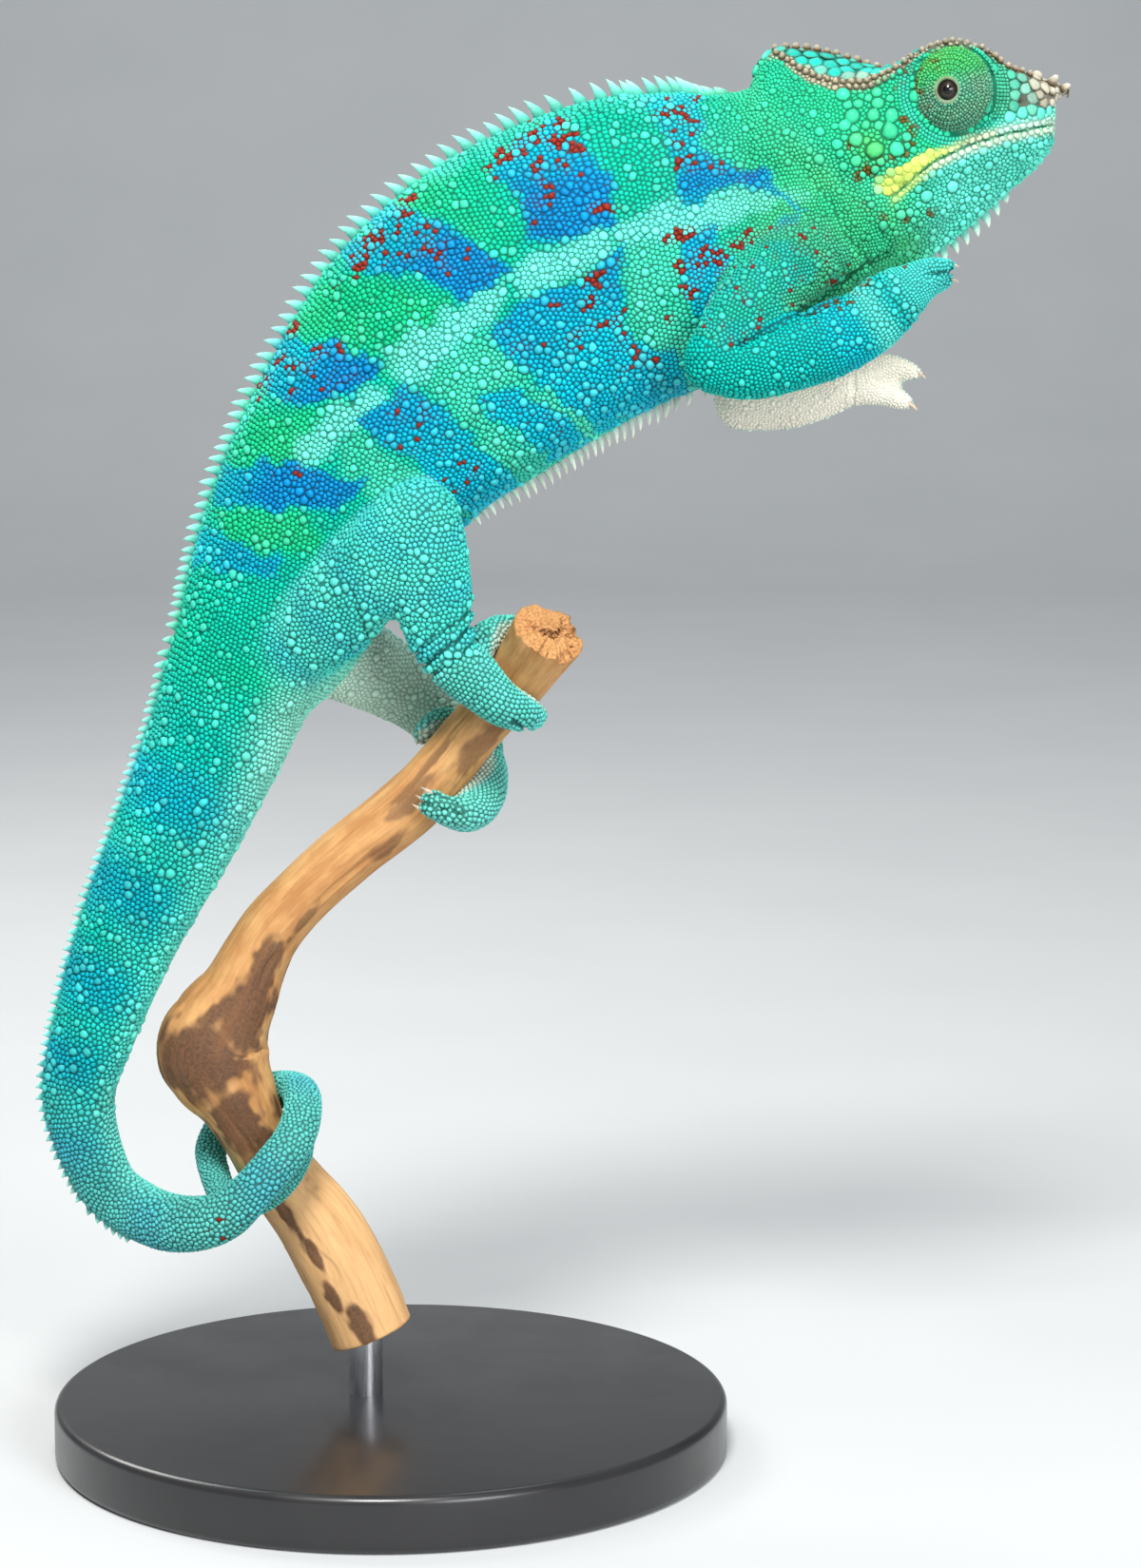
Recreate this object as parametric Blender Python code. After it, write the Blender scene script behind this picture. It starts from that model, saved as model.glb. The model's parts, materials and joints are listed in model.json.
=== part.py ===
"""Panther chameleon, life size, holding a cut length of branch on a plain display stand.

Sizes are in millimetres until a mesh is made, then in metres. +Z is up, the head points to +X
and the animal's right side to -Y. The origin is the centre of the stand's underside.
The animal is parted where a person would name its pieces, with a gap of GAP between them.
"""

import math

import bmesh
import bpy
from mathutils import Matrix, Vector

MM = 0.001
GAP = 0.3
ACROSS = Vector((0, 1, 0))

# ---- driving dimensions -------------------------------------------------------------------

# Centre line of neck, trunk and tail: x, y, z, half height, half width.
TORSO = [
    (91.0, 0.0, 230.0, 15.0, 9.0),
    (80.6, 0.0, 225.7, 17.6, 10.6),
    (71.6, 0.0, 221.7, 20.4, 11.6),
    (61.0, 0.0, 217.2, 23.6, 12.6),
    (49.6, 0.0, 214.3, 25.9, 13.6),
    (38.5, 0.0, 211.5, 26.9, 14.2),
    (22.6, 0.0, 203.5, 27.2, 14.4),
    (9.5, 0.0, 193.3, 25.9, 14.0),
    (-1.5, 0.0, 181.1, 22.6, 13.4),
    (-12.3, 0.0, 164.1, 19.8, 12.6),
    (-21.0, 0.0, 146.8, 16.2, 11.4),
    (-25.6, 0.0, 138.5, 13.7, 10.2),
    (-29.3, 0.0, 129.1, 12.5, 9.6),
    (-37.1, 0.0, 111.7, 11.0, 8.8),
    (-45.0, 0.0, 95.4, 9.4, 7.8),
    (-52.4, 0.0, 75.5, 7.6, 6.6),
    (-55.2, 0.0, 63.5, 6.6, 6.0),
    (-50.8, -1.0, 48.9, 5.5, 5.3),
    (-45.3, -3.5, 44.8, 5.4, 5.1),
    (-39.1, -8.0, 43.3, 5.4, 5.1),
    (-32.8, -12.6, 44.1, 5.1, 4.9),
    (-27.6, -15.2, 46.3, 4.6, 4.5),
    (-23.2, -16.4, 50.6, 4.1, 4.0),
    (-19.4, -15.4, 54.9, 4.0, 3.9),
    (-16.1, -12.2, 58.9, 3.9, 3.8),
    (-14.9, -7.0, 62.7, 3.7, 3.6),
    (-15.9, 0.0, 64.8, 3.6, 3.5),
    (-19.0, 7.2, 64.3, 3.5, 3.4),
    (-24.1, 11.4, 62.2, 3.4, 3.3),
    (-29.6, 10.8, 57.9, 3.3, 3.2),
    (-32.7, 7.4, 53.0, 3.2, 3.1),
    (-31.4, 2.6, 48.5, 3.1, 3.0),
    (-29.0, -3.0, 46.0, 3.0, 2.9),
    (-25.2, -7.6, 46.0, 2.8, 2.7),
    (-21.4, -9.4, 47.8, 2.6, 2.6),
    (-19.0, -9.5, 49.6, 2.6, 2.5),
    (-16.6, -8.4, 52.4, 2.5, 2.5),
    (-15.1, -4.6, 55.9, 2.4, 2.4),
    (-16.0, 1.5, 57.7, 2.2, 2.2),
    (-19.1, 7.4, 57.4, 2.0, 2.0),
    (-23.4, 9.4, 55.8, 1.7, 1.7),
    (-26.8, 8.4, 53.5, 1.2, 1.2),
]
EGG = 0.24  # how much narrower the back is than the belly

# Where the torso is parted: node name, first and last station.
TORSO_NODES = [
    ("neck", 0, 3),
    ("trunk", 3, 10),
    ("tail_1_base", 10, 13),
    ("tail_2", 13, 15),
    ("tail_3", 15, 17),
    ("tail_4", 17, 19),
    ("tail_5", 19, 22),
    ("tail_6_coil", 22, 25),
    ("tail_7_coil", 25, 29),
    ("tail_8_coil", 29, 33),
    ("tail_9_tip", 33, 41),
]

# Limbs: x, y, z, half height, half width of each station. The right side is the near one.
LIMBS = {
    "thigh_right": [(-19, -5, 143.2, 8, 6.2), (-8.8, -10.5, 151.1, 8.6, 6.5), (-0.7, -14.4, 160.7, 7.6, 6),
                    (4.9, -16.6, 167.4, 6.6, 5.5), (7.2, -17, 169.3, 6.1, 5.3)],
    "shank_right": [(7.5, -17, 169, 6, 5.2), (8.1, -16.5, 162.2, 6.8, 5.5), (8.8, -15, 153.9, 6.9, 5.3),
                    (9.9, -13.6, 147.6, 6.3, 5), (11.5, -12.8, 143.6, 5.5, 4.5)],
    "thigh_left": [(-15, 4, 146, 9, 6), (-6.5, 11, 140.6, 8.2, 6), (1, 17, 135.6, 7, 5.5), (4.6, 18.6, 132.6, 6.2, 5)],
    "shank_left": [(4.8, 18.4, 132.4, 6, 5), (9, 15.5, 129.4, 5.7, 4.8), (12.6, 12, 126.8, 5.1, 4.4)],
    "upper_arm_right": [(74, -8, 214, 7, 5), (67, -13, 208, 7.2, 5.5), (61.5, -17, 202, 6.8, 5.5),
                        (58, -19, 196.4, 6.3, 5.3)],
    "forearm_right": [(55.8, -19.5, 194.8, 6, 5.1), (61.5, -20, 193.6, 6, 5.2), (67.9, -20.5, 195.2, 6.4, 5.3),
                      (75.3, -20.3, 197.9, 6.7, 5.3), (82.2, -20, 201.8, 6.5, 5), (87.4, -19.5, 205.6, 5.3, 4.5)],
    "upper_arm_left": [(74, 8, 212, 7, 5), (68.5, 12, 203, 6.5, 5), (64.5, 15, 194, 5.9, 4.8),
                       (63, 15.5, 189, 5.7, 4.8)],
    "forearm_left": [(61.9, 15.5, 186.5, 5.8, 5), (69.8, 15, 186.5, 5.6, 4.9), (75.9, 14, 187.9, 5.2, 4.5),
                     (80.6, 13, 189.3, 4.4, 3.9)],
}

# Feet: a palm and two opposed bundles of toes, each ending in its claws.
FEET = {
    "hindfoot_right": {
        "palm": [(11.5, -12.8, 143.6, 5.4, 4.5), (15.7, -12.6, 139.7, 5.2, 4.4)],
        "outer": [(15.7, -12.6, 139.7, 5, 4.2), (19.9, -12, 135.8, 4.3, 3.7), (23.6, -9.4, 133.7, 3.7, 3.2),
                  (25.6, -6.2, 132.6, 2.9, 2.6)],
        "inner": [(13.6, -9.8, 143.6, 3.6, 3.2), (17, -6.4, 146.2, 3.2, 3), (20.2, -1.4, 147.2, 3.1, 2.9),
                  (24, 3.2, 146, 2.9, 2.8), (27.6, 4.6, 142, 2.3, 2.3)],
    },
    "hindfoot_left": {
        "palm": [(12.6, 12, 126.8, 5, 4.3), (16.1, 9, 125, 4.8, 4.2)],
        "outer": [(15.8, 8, 123.6, 4.6, 4), (16.8, 4.4, 120.6, 4.6, 4), (16.2, -1, 117.4, 4.5, 3.9),
                  (14, -5.8, 115.8, 4.3, 3.7), (11, -8.4, 116.6, 3.9, 3.2), (8.4, -9.2, 117.8, 3.2, 2.8)],
        "inner": [(13.6, 9.8, 127.2, 3.8, 3.4), (9.6, 8.2, 129.6, 3.4, 3), (6.6, 4.6, 128.6, 2.7, 2.5)],
    },
    "forefoot_right": {
        "palm": [(87.4, -19.5, 205.6, 5.1, 4.3), (90.6, -19, 207.8, 3.9, 3.4)],
        "outer": [(90.2, -19.5, 208.8, 2.9, 2.7), (93.4, -19.4, 210, 2.3, 2.2), (95, -19.1, 210.2, 1.8, 1.7)],
        "inner": [(90.4, -18.4, 207.2, 3, 2.7), (93.2, -17.6, 207.4, 2.4, 2.3), (95, -17.2, 207.7, 1.8, 1.7)],
    },
    "forefoot_left": {
        "palm": [(80.6, 13, 189.3, 4.4, 3.7), (84.2, 12.4, 189.6, 4.4, 3)],
        "outer": [(83.8, 12.4, 191.8, 3.1, 2.6), (88.4, 12, 192.6, 2.4, 2.2), (92.2, 11.6, 191.5, 1.9, 1.8)],
        "inner": [(84.2, 12.4, 188.4, 3, 2.6), (87.8, 12, 187.4, 2.5, 2.2), (90.8, 11.6, 186.2, 2, 1.9)],
    },
}
TOES = {"hindfoot": {"outer": 3, "inner": 2}, "forefoot": {"outer": 2, "inner": 3}}
CLAW_LENGTH, CLAW_WIDTH = 1.9, 2.0

# Head, in cross-sections along x: x, then z on the middle of the crown, z and y of the side
# crest, z and y of the widest place, z and y low on the jaw, and z under the chin.
HEAD = [
    (63.0, 243.6, 243.2, 1.8, 229.0, 10.4, 212.0, 8.6, 200.0),
    (66.6, 247.3, 246.6, 2.6, 230.0, 10.6, 213.0, 8.5, 202.0),
    (72.0, 247.5, 242.8, 5.8, 230.0, 11.0, 214.0, 8.2, 203.0),
    (77.0, 246.6, 241.2, 7.4, 229.5, 11.6, 216.0, 7.6, 204.0),
    (82.0, 245.0, 241.4, 8.2, 228.5, 12.2, 217.0, 7.0, 205.5),
    (87.0, 243.6, 243.8, 8.4, 227.0, 12.2, 218.0, 6.6, 207.5),
    (92.0, 243.8, 247.0, 8.2, 227.0, 11.4, 219.0, 6.2, 210.0),
    (97.0, 244.4, 248.2, 7.8, 229.0, 10.4, 221.0, 5.8, 213.3),
    (102.0, 243.6, 246.8, 7.0, 230.5, 9.4, 223.5, 5.4, 217.4),
    (107.0, 241.8, 243.9, 6.0, 232.0, 8.2, 226.0, 5.0, 222.0),
    (111.0, 241.0, 242.6, 5.2, 233.0, 7.0, 228.0, 4.4, 225.4),
    (113.4, 240.2, 241.2, 4.0, 233.6, 5.2, 229.6, 3.2, 228.0),
    (114.8, 238.4, 238.8, 2.4, 234.0, 3.2, 231.2, 2.0, 229.8),
]
SNOUT_HORN = [(107, 0, 240.2, 2.5, 5.4), (112, 0, 239.9, 2.2, 4.6), (115, 0, 239.9, 1.5, 3), (116.6, 0, 240, 1, 1.4)]
EYE = Vector((95.9, 8.2, 239.4))  # centre of the left eye; the right one mirrors it
ORBIT_RADII = (8.3, 5.6, 8.5)
TURRET_RADII = (6.9, 6.3, 6.9)
EYEBALL_RADIUS, EYEBALL_DEPTH = 2.4, 4.35  # depth: eyeball centre outwards from the turret's
MOUTH = [(124, 236.0), (116, 234.0), (105, 230.6), (98.3, 228.6), (94, 226.2), (89, 220.8), (86, 213), (84, 196)]
NECK_CUT = Vector((77.5, 0, 225.5))
NECK_CUT_NORMAL = Vector((1, 0, 1)).normalized()

LIMB_CARRIERS = ("neck", "trunk", "tail_1_base")

# Crests of spines: start and end along the torso, then pitch and height at each end.
BACK_CREST_START, BACK_CREST_END = 28.0, 262.0
BACK_PITCH, BACK_HEIGHT = (3.2, 2.4), (2.6, 0.9)
BELLY_CREST_START, BELLY_CREST_END = 45.0, 109.0
BELLY_PITCH, BELLY_HEIGHT = 2.6, 2.3
CHIN_CREST = [(106.5, 221.6), (91, 209.4)]
CHIN_SPINES, CHIN_HEIGHT = 8, 1.9
SPINE_ROOT, SPINE_WIDTH = 1.2, 1.8

# Branch: x, y, z, half height, half width.
BRANCH = [
    (28.4, -10.4, 147.9, 6.5, 6.5), (24.8, -5.6, 142.3, 5.9, 5.9), (19.4, -0.8, 134.6, 5.5, 5.5),
    (12.1, 0.0, 126.1, 5.4, 5.4), (4.0, 0.0, 116.6, 5.8, 5.7), (-6.3, 0.0, 108.1, 5.5, 5.5),
    (-14.0, 0.0, 101.3, 5.6, 5.6), (-19.8, 0.0, 95.2, 5.9, 5.9), (-23.6, 0.0, 89.2, 6.3, 6.2),
    (-26.3, 0.0, 83.0, 7.4, 6.6), (-29.2, 0.0, 77.8, 8.9, 7.4), (-31.1, 0.0, 72.8, 10.3, 8.0),
    (-29.8, 0.0, 68.4, 9.4, 7.6), (-27.2, 0.0, 63.7, 7.6, 7.0), (-24.6, 0.0, 58.3, 6.6, 6.5),
    (-21.4, 0.0, 52.6, 6.4, 6.4), (-17.9, 0.0, 47.8, 6.8, 6.6), (-13.6, 0.0, 42.0, 7.3, 7.0),
    (-9.6, 0.0, 34.8, 7.7, 7.3), (-5.8, 0.0, 26.6, 7.7, 7.4), (-3.6, 0.0, 21.2, 7.6, 7.4),
]

BASE_RADIUS, BASE_THICKNESS, BASE_CHAMFER = 60.0, 10.0, 1.5
ROD_RADIUS, ROD_X = 3.0, -4.6
ROD_BOTTOM, ROD_TOP = 4.0, 33.0

COLOURS = {
    "skin": (0.06, 0.56, 0.48), "eye": (0.02, 0.02, 0.02), "wood": (0.62, 0.38, 0.18),
    "base": (0.03, 0.03, 0.03), "steel": (0.6, 0.6, 0.6),
}


# ---- tools --------------------------------------------------------------------------------

class Body:
    """A smooth body with egg-shaped sections through stations (x, y, z, half height, half width)."""

    def __init__(self, stations, egg=0.0):
        self.rows = [tuple(float(v) for v in row) for row in stations]
        self.egg = egg
        points = [Vector(row[:3]) for row in self.rows]
        self.knots = [0.0]
        for a, b in zip(points, points[1:]):
            self.knots.append(self.knots[-1] + (b - a).length)
        self.length = self.knots[-1]
        self.sides = self._carry_side()

    def at(self, s):
        """The five station values at length s along the body, and their rates of change."""
        last = len(self.rows) - 2
        i = max(k for k in range(last + 1) if self.knots[k] <= s or k == 0)
        span = self.knots[i + 1] - self.knots[i]
        t = (s - self.knots[i]) / span
        values, rates = [], []
        for c in range(5):
            p0, p1 = self.rows[i][c], self.rows[i + 1][c]
            m0, m1 = self._slope(i, c) * span, self._slope(i + 1, c) * span
            values.append((2*t**3 - 3*t**2 + 1)*p0 + (t**3 - 2*t**2 + t)*m0 + (3*t**2 - 2*t**3)*p1 + (t**3 - t**2)*m1)
            rates.append(((6*t**2 - 6*t)*(p0 - p1) + (3*t**2 - 4*t + 1)*m0 + (3*t**2 - 2*t)*m1) / span)
        return values, rates

    def _slope(self, i, c):
        a, b = max(i - 1, 0), min(i + 1, len(self.rows) - 1)
        return (self.rows[b][c] - self.rows[a][c]) / (self.knots[b] - self.knots[a])

    def _carry_side(self, count=160):
        """The side direction, carried along the centre line without twist."""
        found, side = [], ACROSS
        for k in range(count + 1):
            tangent = Vector(self.at(self.length * k / count)[1][:3]).normalized()
            side = (side - tangent * side.dot(tangent)).normalized()
            found.append(side)
        return found

    def frame(self, s):
        """Centre, tangent, up and side at length s."""
        values, rates = self.at(s)
        tangent = Vector(rates[:3]).normalized()
        k = max(0.0, min(1.0, s / self.length)) * (len(self.sides) - 1)
        i = min(int(k), len(self.sides) - 2)
        side = self.sides[i].lerp(self.sides[i + 1], k - i)
        side = (side - tangent * side.dot(tangent)).normalized()
        return Vector(values[:3]), tangent, side.cross(tangent), side

    def ring(self, s, sides, grow=0.0, shift=0.0, size=1.0):
        centre, tangent, up, side = self.frame(s)
        height, width = (v * size + grow for v in self.at(s)[0][3:])
        points = []
        for k in range(sides):
            a = math.tau * k / sides
            across = math.cos(a) * width * (1 - self.egg * math.sin(a))
            points.append(centre + tangent * shift + up * math.sin(a) * height + side * across)
        return points

    def rings(self, start, end, step, sides, grow=0.0, flat_ends=False, marks=None):
        """Rings from start to end. Ends are cut flat, GAP / 2 short, or closed round."""
        if marks is None:
            count = max(2, round((end - start) / step) + 1)
            marks = [start + (end - start) * k / (count - 1) for k in range(count)]
        rings = [self.ring(s, sides, grow) for s in marks]
        if flat_ends:
            rings[0] = self.ring(start, sides, grow, GAP / 2 - grow)
            rings[-1] = self.ring(end, sides, grow, grow - GAP / 2)
            return rings
        first, last = [], []
        for turn in (0.45, 0.8):
            reach, size = math.sin(turn * math.pi / 2), math.cos(turn * math.pi / 2)
            first.insert(0, self.ring(start, sides, grow, -reach * (self.at(start)[0][4] + grow), size))
            last.append(self.ring(end, sides, grow, reach * (self.at(end)[0][4] + grow), size))
        return first + rings + last


def clear_scene():
    for obj in list(bpy.data.objects):
        bpy.data.objects.remove(obj)


def add_object(name, bm):
    mesh = bpy.data.meshes.new(name)
    bmesh.ops.recalc_face_normals(bm, faces=bm.faces)
    bm.to_mesh(mesh)
    bm.free()
    mesh.shade_smooth()
    mesh.set_sharp_from_angle(angle=math.radians(40))
    obj = bpy.data.objects.new(name, mesh)
    bpy.context.scene.collection.objects.link(obj)
    return obj


def loft(name, rings):
    """A closed solid through rings of points in mm."""
    bm = bmesh.new()
    loops = [[bm.verts.new(p * MM) for p in ring] for ring in rings]
    for a, b in zip(loops, loops[1:]):
        for i in range(len(a)):
            j = (i + 1) % len(a)
            bm.faces.new((a[i], a[j], b[j], b[i]))
    bm.faces.new(loops[0])
    bm.faces.new(loops[-1])
    return add_object(name, bm)


def combine(obj, other, operation):
    """Applies a Boolean of obj with other, and removes other."""
    step = obj.modifiers.new(operation.lower(), "BOOLEAN")
    step.operation = operation
    step.object = other
    step.solver = "EXACT"
    with bpy.context.temp_override(object=obj, active_object=obj):
        bpy.ops.object.modifier_apply(modifier=step.name)
    bpy.data.objects.remove(other)
    return obj


def ball(name, centre, radii, rows=12):
    bm = bmesh.new()
    bmesh.ops.create_uvsphere(bm, u_segments=rows * 2, v_segments=rows, radius=1.0)
    place = Matrix.Translation(centre * MM) @ Matrix.Diagonal((*(r * MM for r in radii), 1.0))
    bmesh.ops.transform(bm, matrix=place @ Matrix.Rotation(math.pi / 2, 4, "X"), verts=bm.verts)
    return add_object(name, bm)


def cylinder(name, radius, bottom, top, x=0.0, sides=16, chamfer=0.0):
    bm = bmesh.new()
    bmesh.ops.create_cone(bm, cap_ends=True, segments=sides, radius1=radius * MM, radius2=radius * MM,
                          depth=(top - bottom) * MM)
    bmesh.ops.translate(bm, vec=Vector((x, 0, (top + bottom) / 2)) * MM, verts=bm.verts)
    if chamfer:
        rims = [e for e in bm.edges if len({round(v.co.z, 6) for v in e.verts}) == 1]
        bmesh.ops.bevel(bm, geom=rims, offset=chamfer * MM, segments=1, profile=0.5, affect="EDGES")
    return add_object(name, bm)


def half_space(name, point, normal):
    """A big box whose one face lies on a plane, filling the side that the normal points to."""
    reach = 90.0
    bm = bmesh.new()
    bmesh.ops.create_cube(bm, size=2 * reach * MM)
    turn = normal.to_track_quat("Z", "Y").to_matrix().to_4x4()
    place = Matrix.Translation((point + normal * reach) * MM) @ turn
    bmesh.ops.transform(bm, matrix=place, verts=bm.verts)
    return add_object(name, bm)


def spike(root, tip, long_side, length, width):
    """A four-sided spike from a sunken root: length along long_side, width across it."""
    across = (tip - root).cross(long_side).normalized()
    corners = (long_side * length / 2, across * width / 2, -long_side * length / 2, -across * width / 2)
    bm = bmesh.new()
    base = [bm.verts.new((root + c) * MM) for c in corners]
    point = bm.verts.new(tip * MM)
    bm.faces.new(base)
    for i in range(4):
        bm.faces.new((base[i], base[(i + 1) % 4], point))
    return add_object("spike", bm)


# ---- the animal ---------------------------------------------------------------------------

def crest_spines(torso, start, end, pitch, height, sign):
    """Places of the spines along the back (sign 1) or the belly (sign -1): mark, root, tip, direction, pitch."""
    spines, s = [], start
    while s < end:
        share = (s - start) / (end - start)
        step = pitch[0] + (pitch[1] - pitch[0]) * share
        tall = height[0] + (height[1] - height[0]) * share
        centre, tangent, up, _ = torso.frame(s)
        edge = torso.at(s)[0][3]
        root = centre + up * sign * (edge - SPINE_ROOT)
        tip = centre + up * sign * (edge + tall) + tangent * step * 0.45
        spines.append((s, root, tip, tangent, step))
        s += step
    return spines


def add_spines(obj, spines, start, end):
    """Joins the spines that stand wholly between start and end to a torso node."""
    for mark, root, tip, tangent, step in spines:
        if start + step * 0.6 < mark < end - step * 0.8:
            combine(obj, spike(root, tip, tangent, step * 1.5, SPINE_WIDTH), "UNION")


def torso_nodes(torso):
    back = crest_spines(torso, BACK_CREST_START, BACK_CREST_END, BACK_PITCH, BACK_HEIGHT, 1)
    belly = crest_spines(torso, BELLY_CREST_START, BELLY_CREST_END, (BELLY_PITCH,) * 2, (BELLY_HEIGHT,) * 2, -1)
    nodes = {}
    for name, first, last in TORSO_NODES:
        start, end = torso.knots[first], torso.knots[last]
        if name == "tail_9_tip":
            rings = torso.rings(start, end, 3.6, 10)
            rings[0:2] = []
            rings[0] = torso.ring(start, 10, 0.0, GAP / 2)
        else:
            rings = torso_rings(torso, name)
        node = loft(name, rings)
        add_spines(node, back, start, end)
        add_spines(node, belly, start, end)
        nodes[name] = node
    return nodes


def torso_rings(torso, name, grow=0.0):
    first, last = next((a, b) for node, a, b in TORSO_NODES if node == name)
    sides = 18 if name in LIMB_CARRIERS else 14 if first < 17 else 10
    step = 8.5 if name in LIMB_CARRIERS else 5.0 if first < 29 else 3.8
    return torso.rings(torso.knots[first], torso.knots[last], step, sides, grow=grow, flat_ends=True)


def head_ring(row):
    """One cross-section of the head, from the crown down the left side, under the chin and back up."""
    x, crown, crest_z, crest_y, wide_z, wide_y, low_z, low_y, chin = row
    temple = (crest_y * 0.45 + wide_y * 0.55 + 0.3, crest_z * 0.5 + wide_z * 0.5)
    half = [(crest_y * 0.5, crown * 0.55 + crest_z * 0.45), (crest_y, crest_z), temple, (wide_y, wide_z),
            ((wide_y + low_y) / 2 + 0.4, (wide_z + low_z) / 2), (low_y, low_z), (low_y * 0.5, chin * 0.75 + low_z * 0.25)]
    left = [Vector((x, y, z)) for y, z in half]
    right = [Vector((x, -y, z)) for y, z in reversed(half)]
    return [Vector((x, 0, crown)), *left, Vector((x, 0, chin)), *right]


def mouth_knife():
    """A thin ribbon along the mouth line and down behind the jaw, right across the head."""
    line = [Vector((x, 0, z)) for x, z in MOUTH]
    normals = []
    for i in range(len(line)):
        along = (line[min(i + 1, len(line) - 1)] - line[max(i - 1, 0)]).normalized()
        normals.append(along.cross(ACROSS) * GAP / 2)
    upper = [p + n for p, n in zip(line, normals)]
    lower = [p - n for p, n in zip(line, normals)]
    bm = bmesh.new()
    reach = ACROSS * 25
    for i in range(len(line) - 1):
        corners = (upper[i], upper[i + 1], lower[i + 1], lower[i])
        bm.faces.new([bm.verts.new((p - reach) * MM) for p in corners])
    bmesh.ops.remove_doubles(bm, verts=bm.verts, dist=1e-6)
    turned = bmesh.ops.extrude_face_region(bm, geom=list(bm.faces))
    moved = [v for v in turned["geom"] if isinstance(v, bmesh.types.BMVert)]
    bmesh.ops.translate(bm, vec=2 * reach * MM, verts=moved)
    return add_object("mouth_knife", bm)


def add_chin_spines(head):
    (x0, z0), (x1, z1) = CHIN_CREST
    first, last = Vector((x0, 0, z0)), Vector((x1, 0, z1))
    along = (last - first) / CHIN_SPINES
    down = Vector((-along.z, 0, along.x)).normalized()
    for k in range(CHIN_SPINES):
        foot_point = first + along * (k + 0.5)
        tall = CHIN_HEIGHT * (0.7 + 0.5 * k / CHIN_SPINES)
        tip = foot_point + down * tall + along * 0.2
        root = foot_point - down * SPINE_ROOT
        combine(head, spike(root, tip, along.normalized(), along.length * 1.4, SPINE_WIDTH), "UNION")


def eye_nodes():
    """The socket cutters, the turrets and the eyeballs, on both sides."""
    nodes, sockets, orbits = {}, [], []
    for side, sign in (("left", 1), ("right", -1)):
        centre = Vector((EYE.x, EYE.y * sign, EYE.z))
        pupil = centre + ACROSS * sign * EYEBALL_DEPTH
        orbits.append(ball("orbit", centre, ORBIT_RADII, rows=7))
        sockets.append(ball("socket", centre, [r + GAP for r in TURRET_RADII], rows=7))
        turret = ball(f"eye_turret_{side}", centre, TURRET_RADII, rows=7)
        combine(turret, ball("lid_hole", pupil, [EYEBALL_RADIUS + GAP] * 3, rows=6), "DIFFERENCE")
        nodes[f"eye_turret_{side}"] = turret
        nodes[f"eyeball_{side}"] = ball(f"eyeball_{side}", pupil, [EYEBALL_RADIUS] * 3, rows=6)
    return nodes, orbits, sockets


def head_nodes():
    head = loft("head", [head_ring(row) for row in HEAD])
    combine(head, loft("horn", Body(SNOUT_HORN).rings(0, Body(SNOUT_HORN).length, 3, 12)), "UNION")
    nodes, orbits, sockets = eye_nodes()
    for orbit in orbits:
        combine(head, orbit, "UNION")
    add_chin_spines(head)
    for socket in sockets:
        combine(head, socket, "DIFFERENCE")
    behind = half_space("behind", NECK_CUT + NECK_CUT_NORMAL * GAP / 2, -NECK_CUT_NORMAL)
    combine(head, behind, "DIFFERENCE")
    combine(head, mouth_knife(), "DIFFERENCE")
    upper, lower = split_loose(head)
    upper.name, lower.name = "head", "jaw"
    return nodes | {"head": upper, "jaw": lower}


def split_loose(obj):
    """Parts an object into its two loose pieces, the higher one first."""
    bpy.ops.object.select_all(action="DESELECT")
    obj.select_set(True)
    bpy.context.view_layer.objects.active = obj
    bpy.ops.mesh.separate(type="LOOSE")
    pieces = list(bpy.context.selected_objects)
    pieces.sort(key=lambda o: -sum(v.co.z for v in o.data.vertices) / len(o.data.vertices))
    return pieces


def keep_largest(obj):
    """Drops the crumbs that a cut leaves beside a node."""
    bm = bmesh.new()
    bm.from_mesh(obj.data)
    left, groups = set(bm.verts), []
    while left:
        group, edge = set(), [left.pop()]
        while edge:
            vert = edge.pop()
            group.add(vert)
            near = {e.other_vert(vert) for e in vert.link_edges} & left
            left -= near
            edge.extend(near)
        groups.append(group)
    groups.sort(key=len, reverse=True)
    crumbs = [vert for group in groups[1:] for vert in group]
    bmesh.ops.delete(bm, geom=crumbs, context="VERTS")
    bm.to_mesh(obj.data)
    bm.free()


def limb(name, grow=0.0):
    body = Body(LIMBS[name])
    return loft(name, body.rings(0, body.length, 5.0, 10, grow=grow))


def foot(name, centre_line):
    """A palm with two opposed bundles of toes and their claws, cut clear of the branch."""
    parts = FEET[name]
    palm = Body(parts["palm"])
    node = loft(name, palm.rings(0, palm.length, 5.0, 8))
    for bundle in ("outer", "inner"):
        toes = Body(parts[bundle])
        combine(node, loft(bundle, toes.rings(0, toes.length, 5.0, 8)), "UNION")
        count = TOES[name.split("_")[0]][bundle]
        centre, ahead, up, side = toes.frame(toes.length)
        height, width = toes.at(toes.length)[0][3:]
        inward = centre_line(centre)
        spread = ahead.cross(inward).normalized()
        for k in range(count):
            across = (k - (count - 1) / 2) / count * 2 * 0.8
            tip = centre + spread * across * height + ahead * width * (0.85 - 0.25 * across**2)
            point = tip + ahead * CLAW_LENGTH + inward * CLAW_LENGTH * 0.3
            combine(node, spike(tip - ahead * 0.8, point, spread, CLAW_WIDTH, CLAW_WIDTH), "UNION")
    return node


def towards_branch(branch):
    """A function giving the direction from a point to the nearest place on the branch's centre line."""
    marks = [branch.frame(branch.length * k / 80)[0] for k in range(81)]

    def direction(point):
        nearest = min(marks, key=lambda m: (m - point).length)
        return (nearest - point).normalized()

    return direction


def branch_node(branch, grow=0.0):
    return loft("perch_branch", branch.rings(0, branch.length, 0, 12, grow, True, branch.knots))


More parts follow.
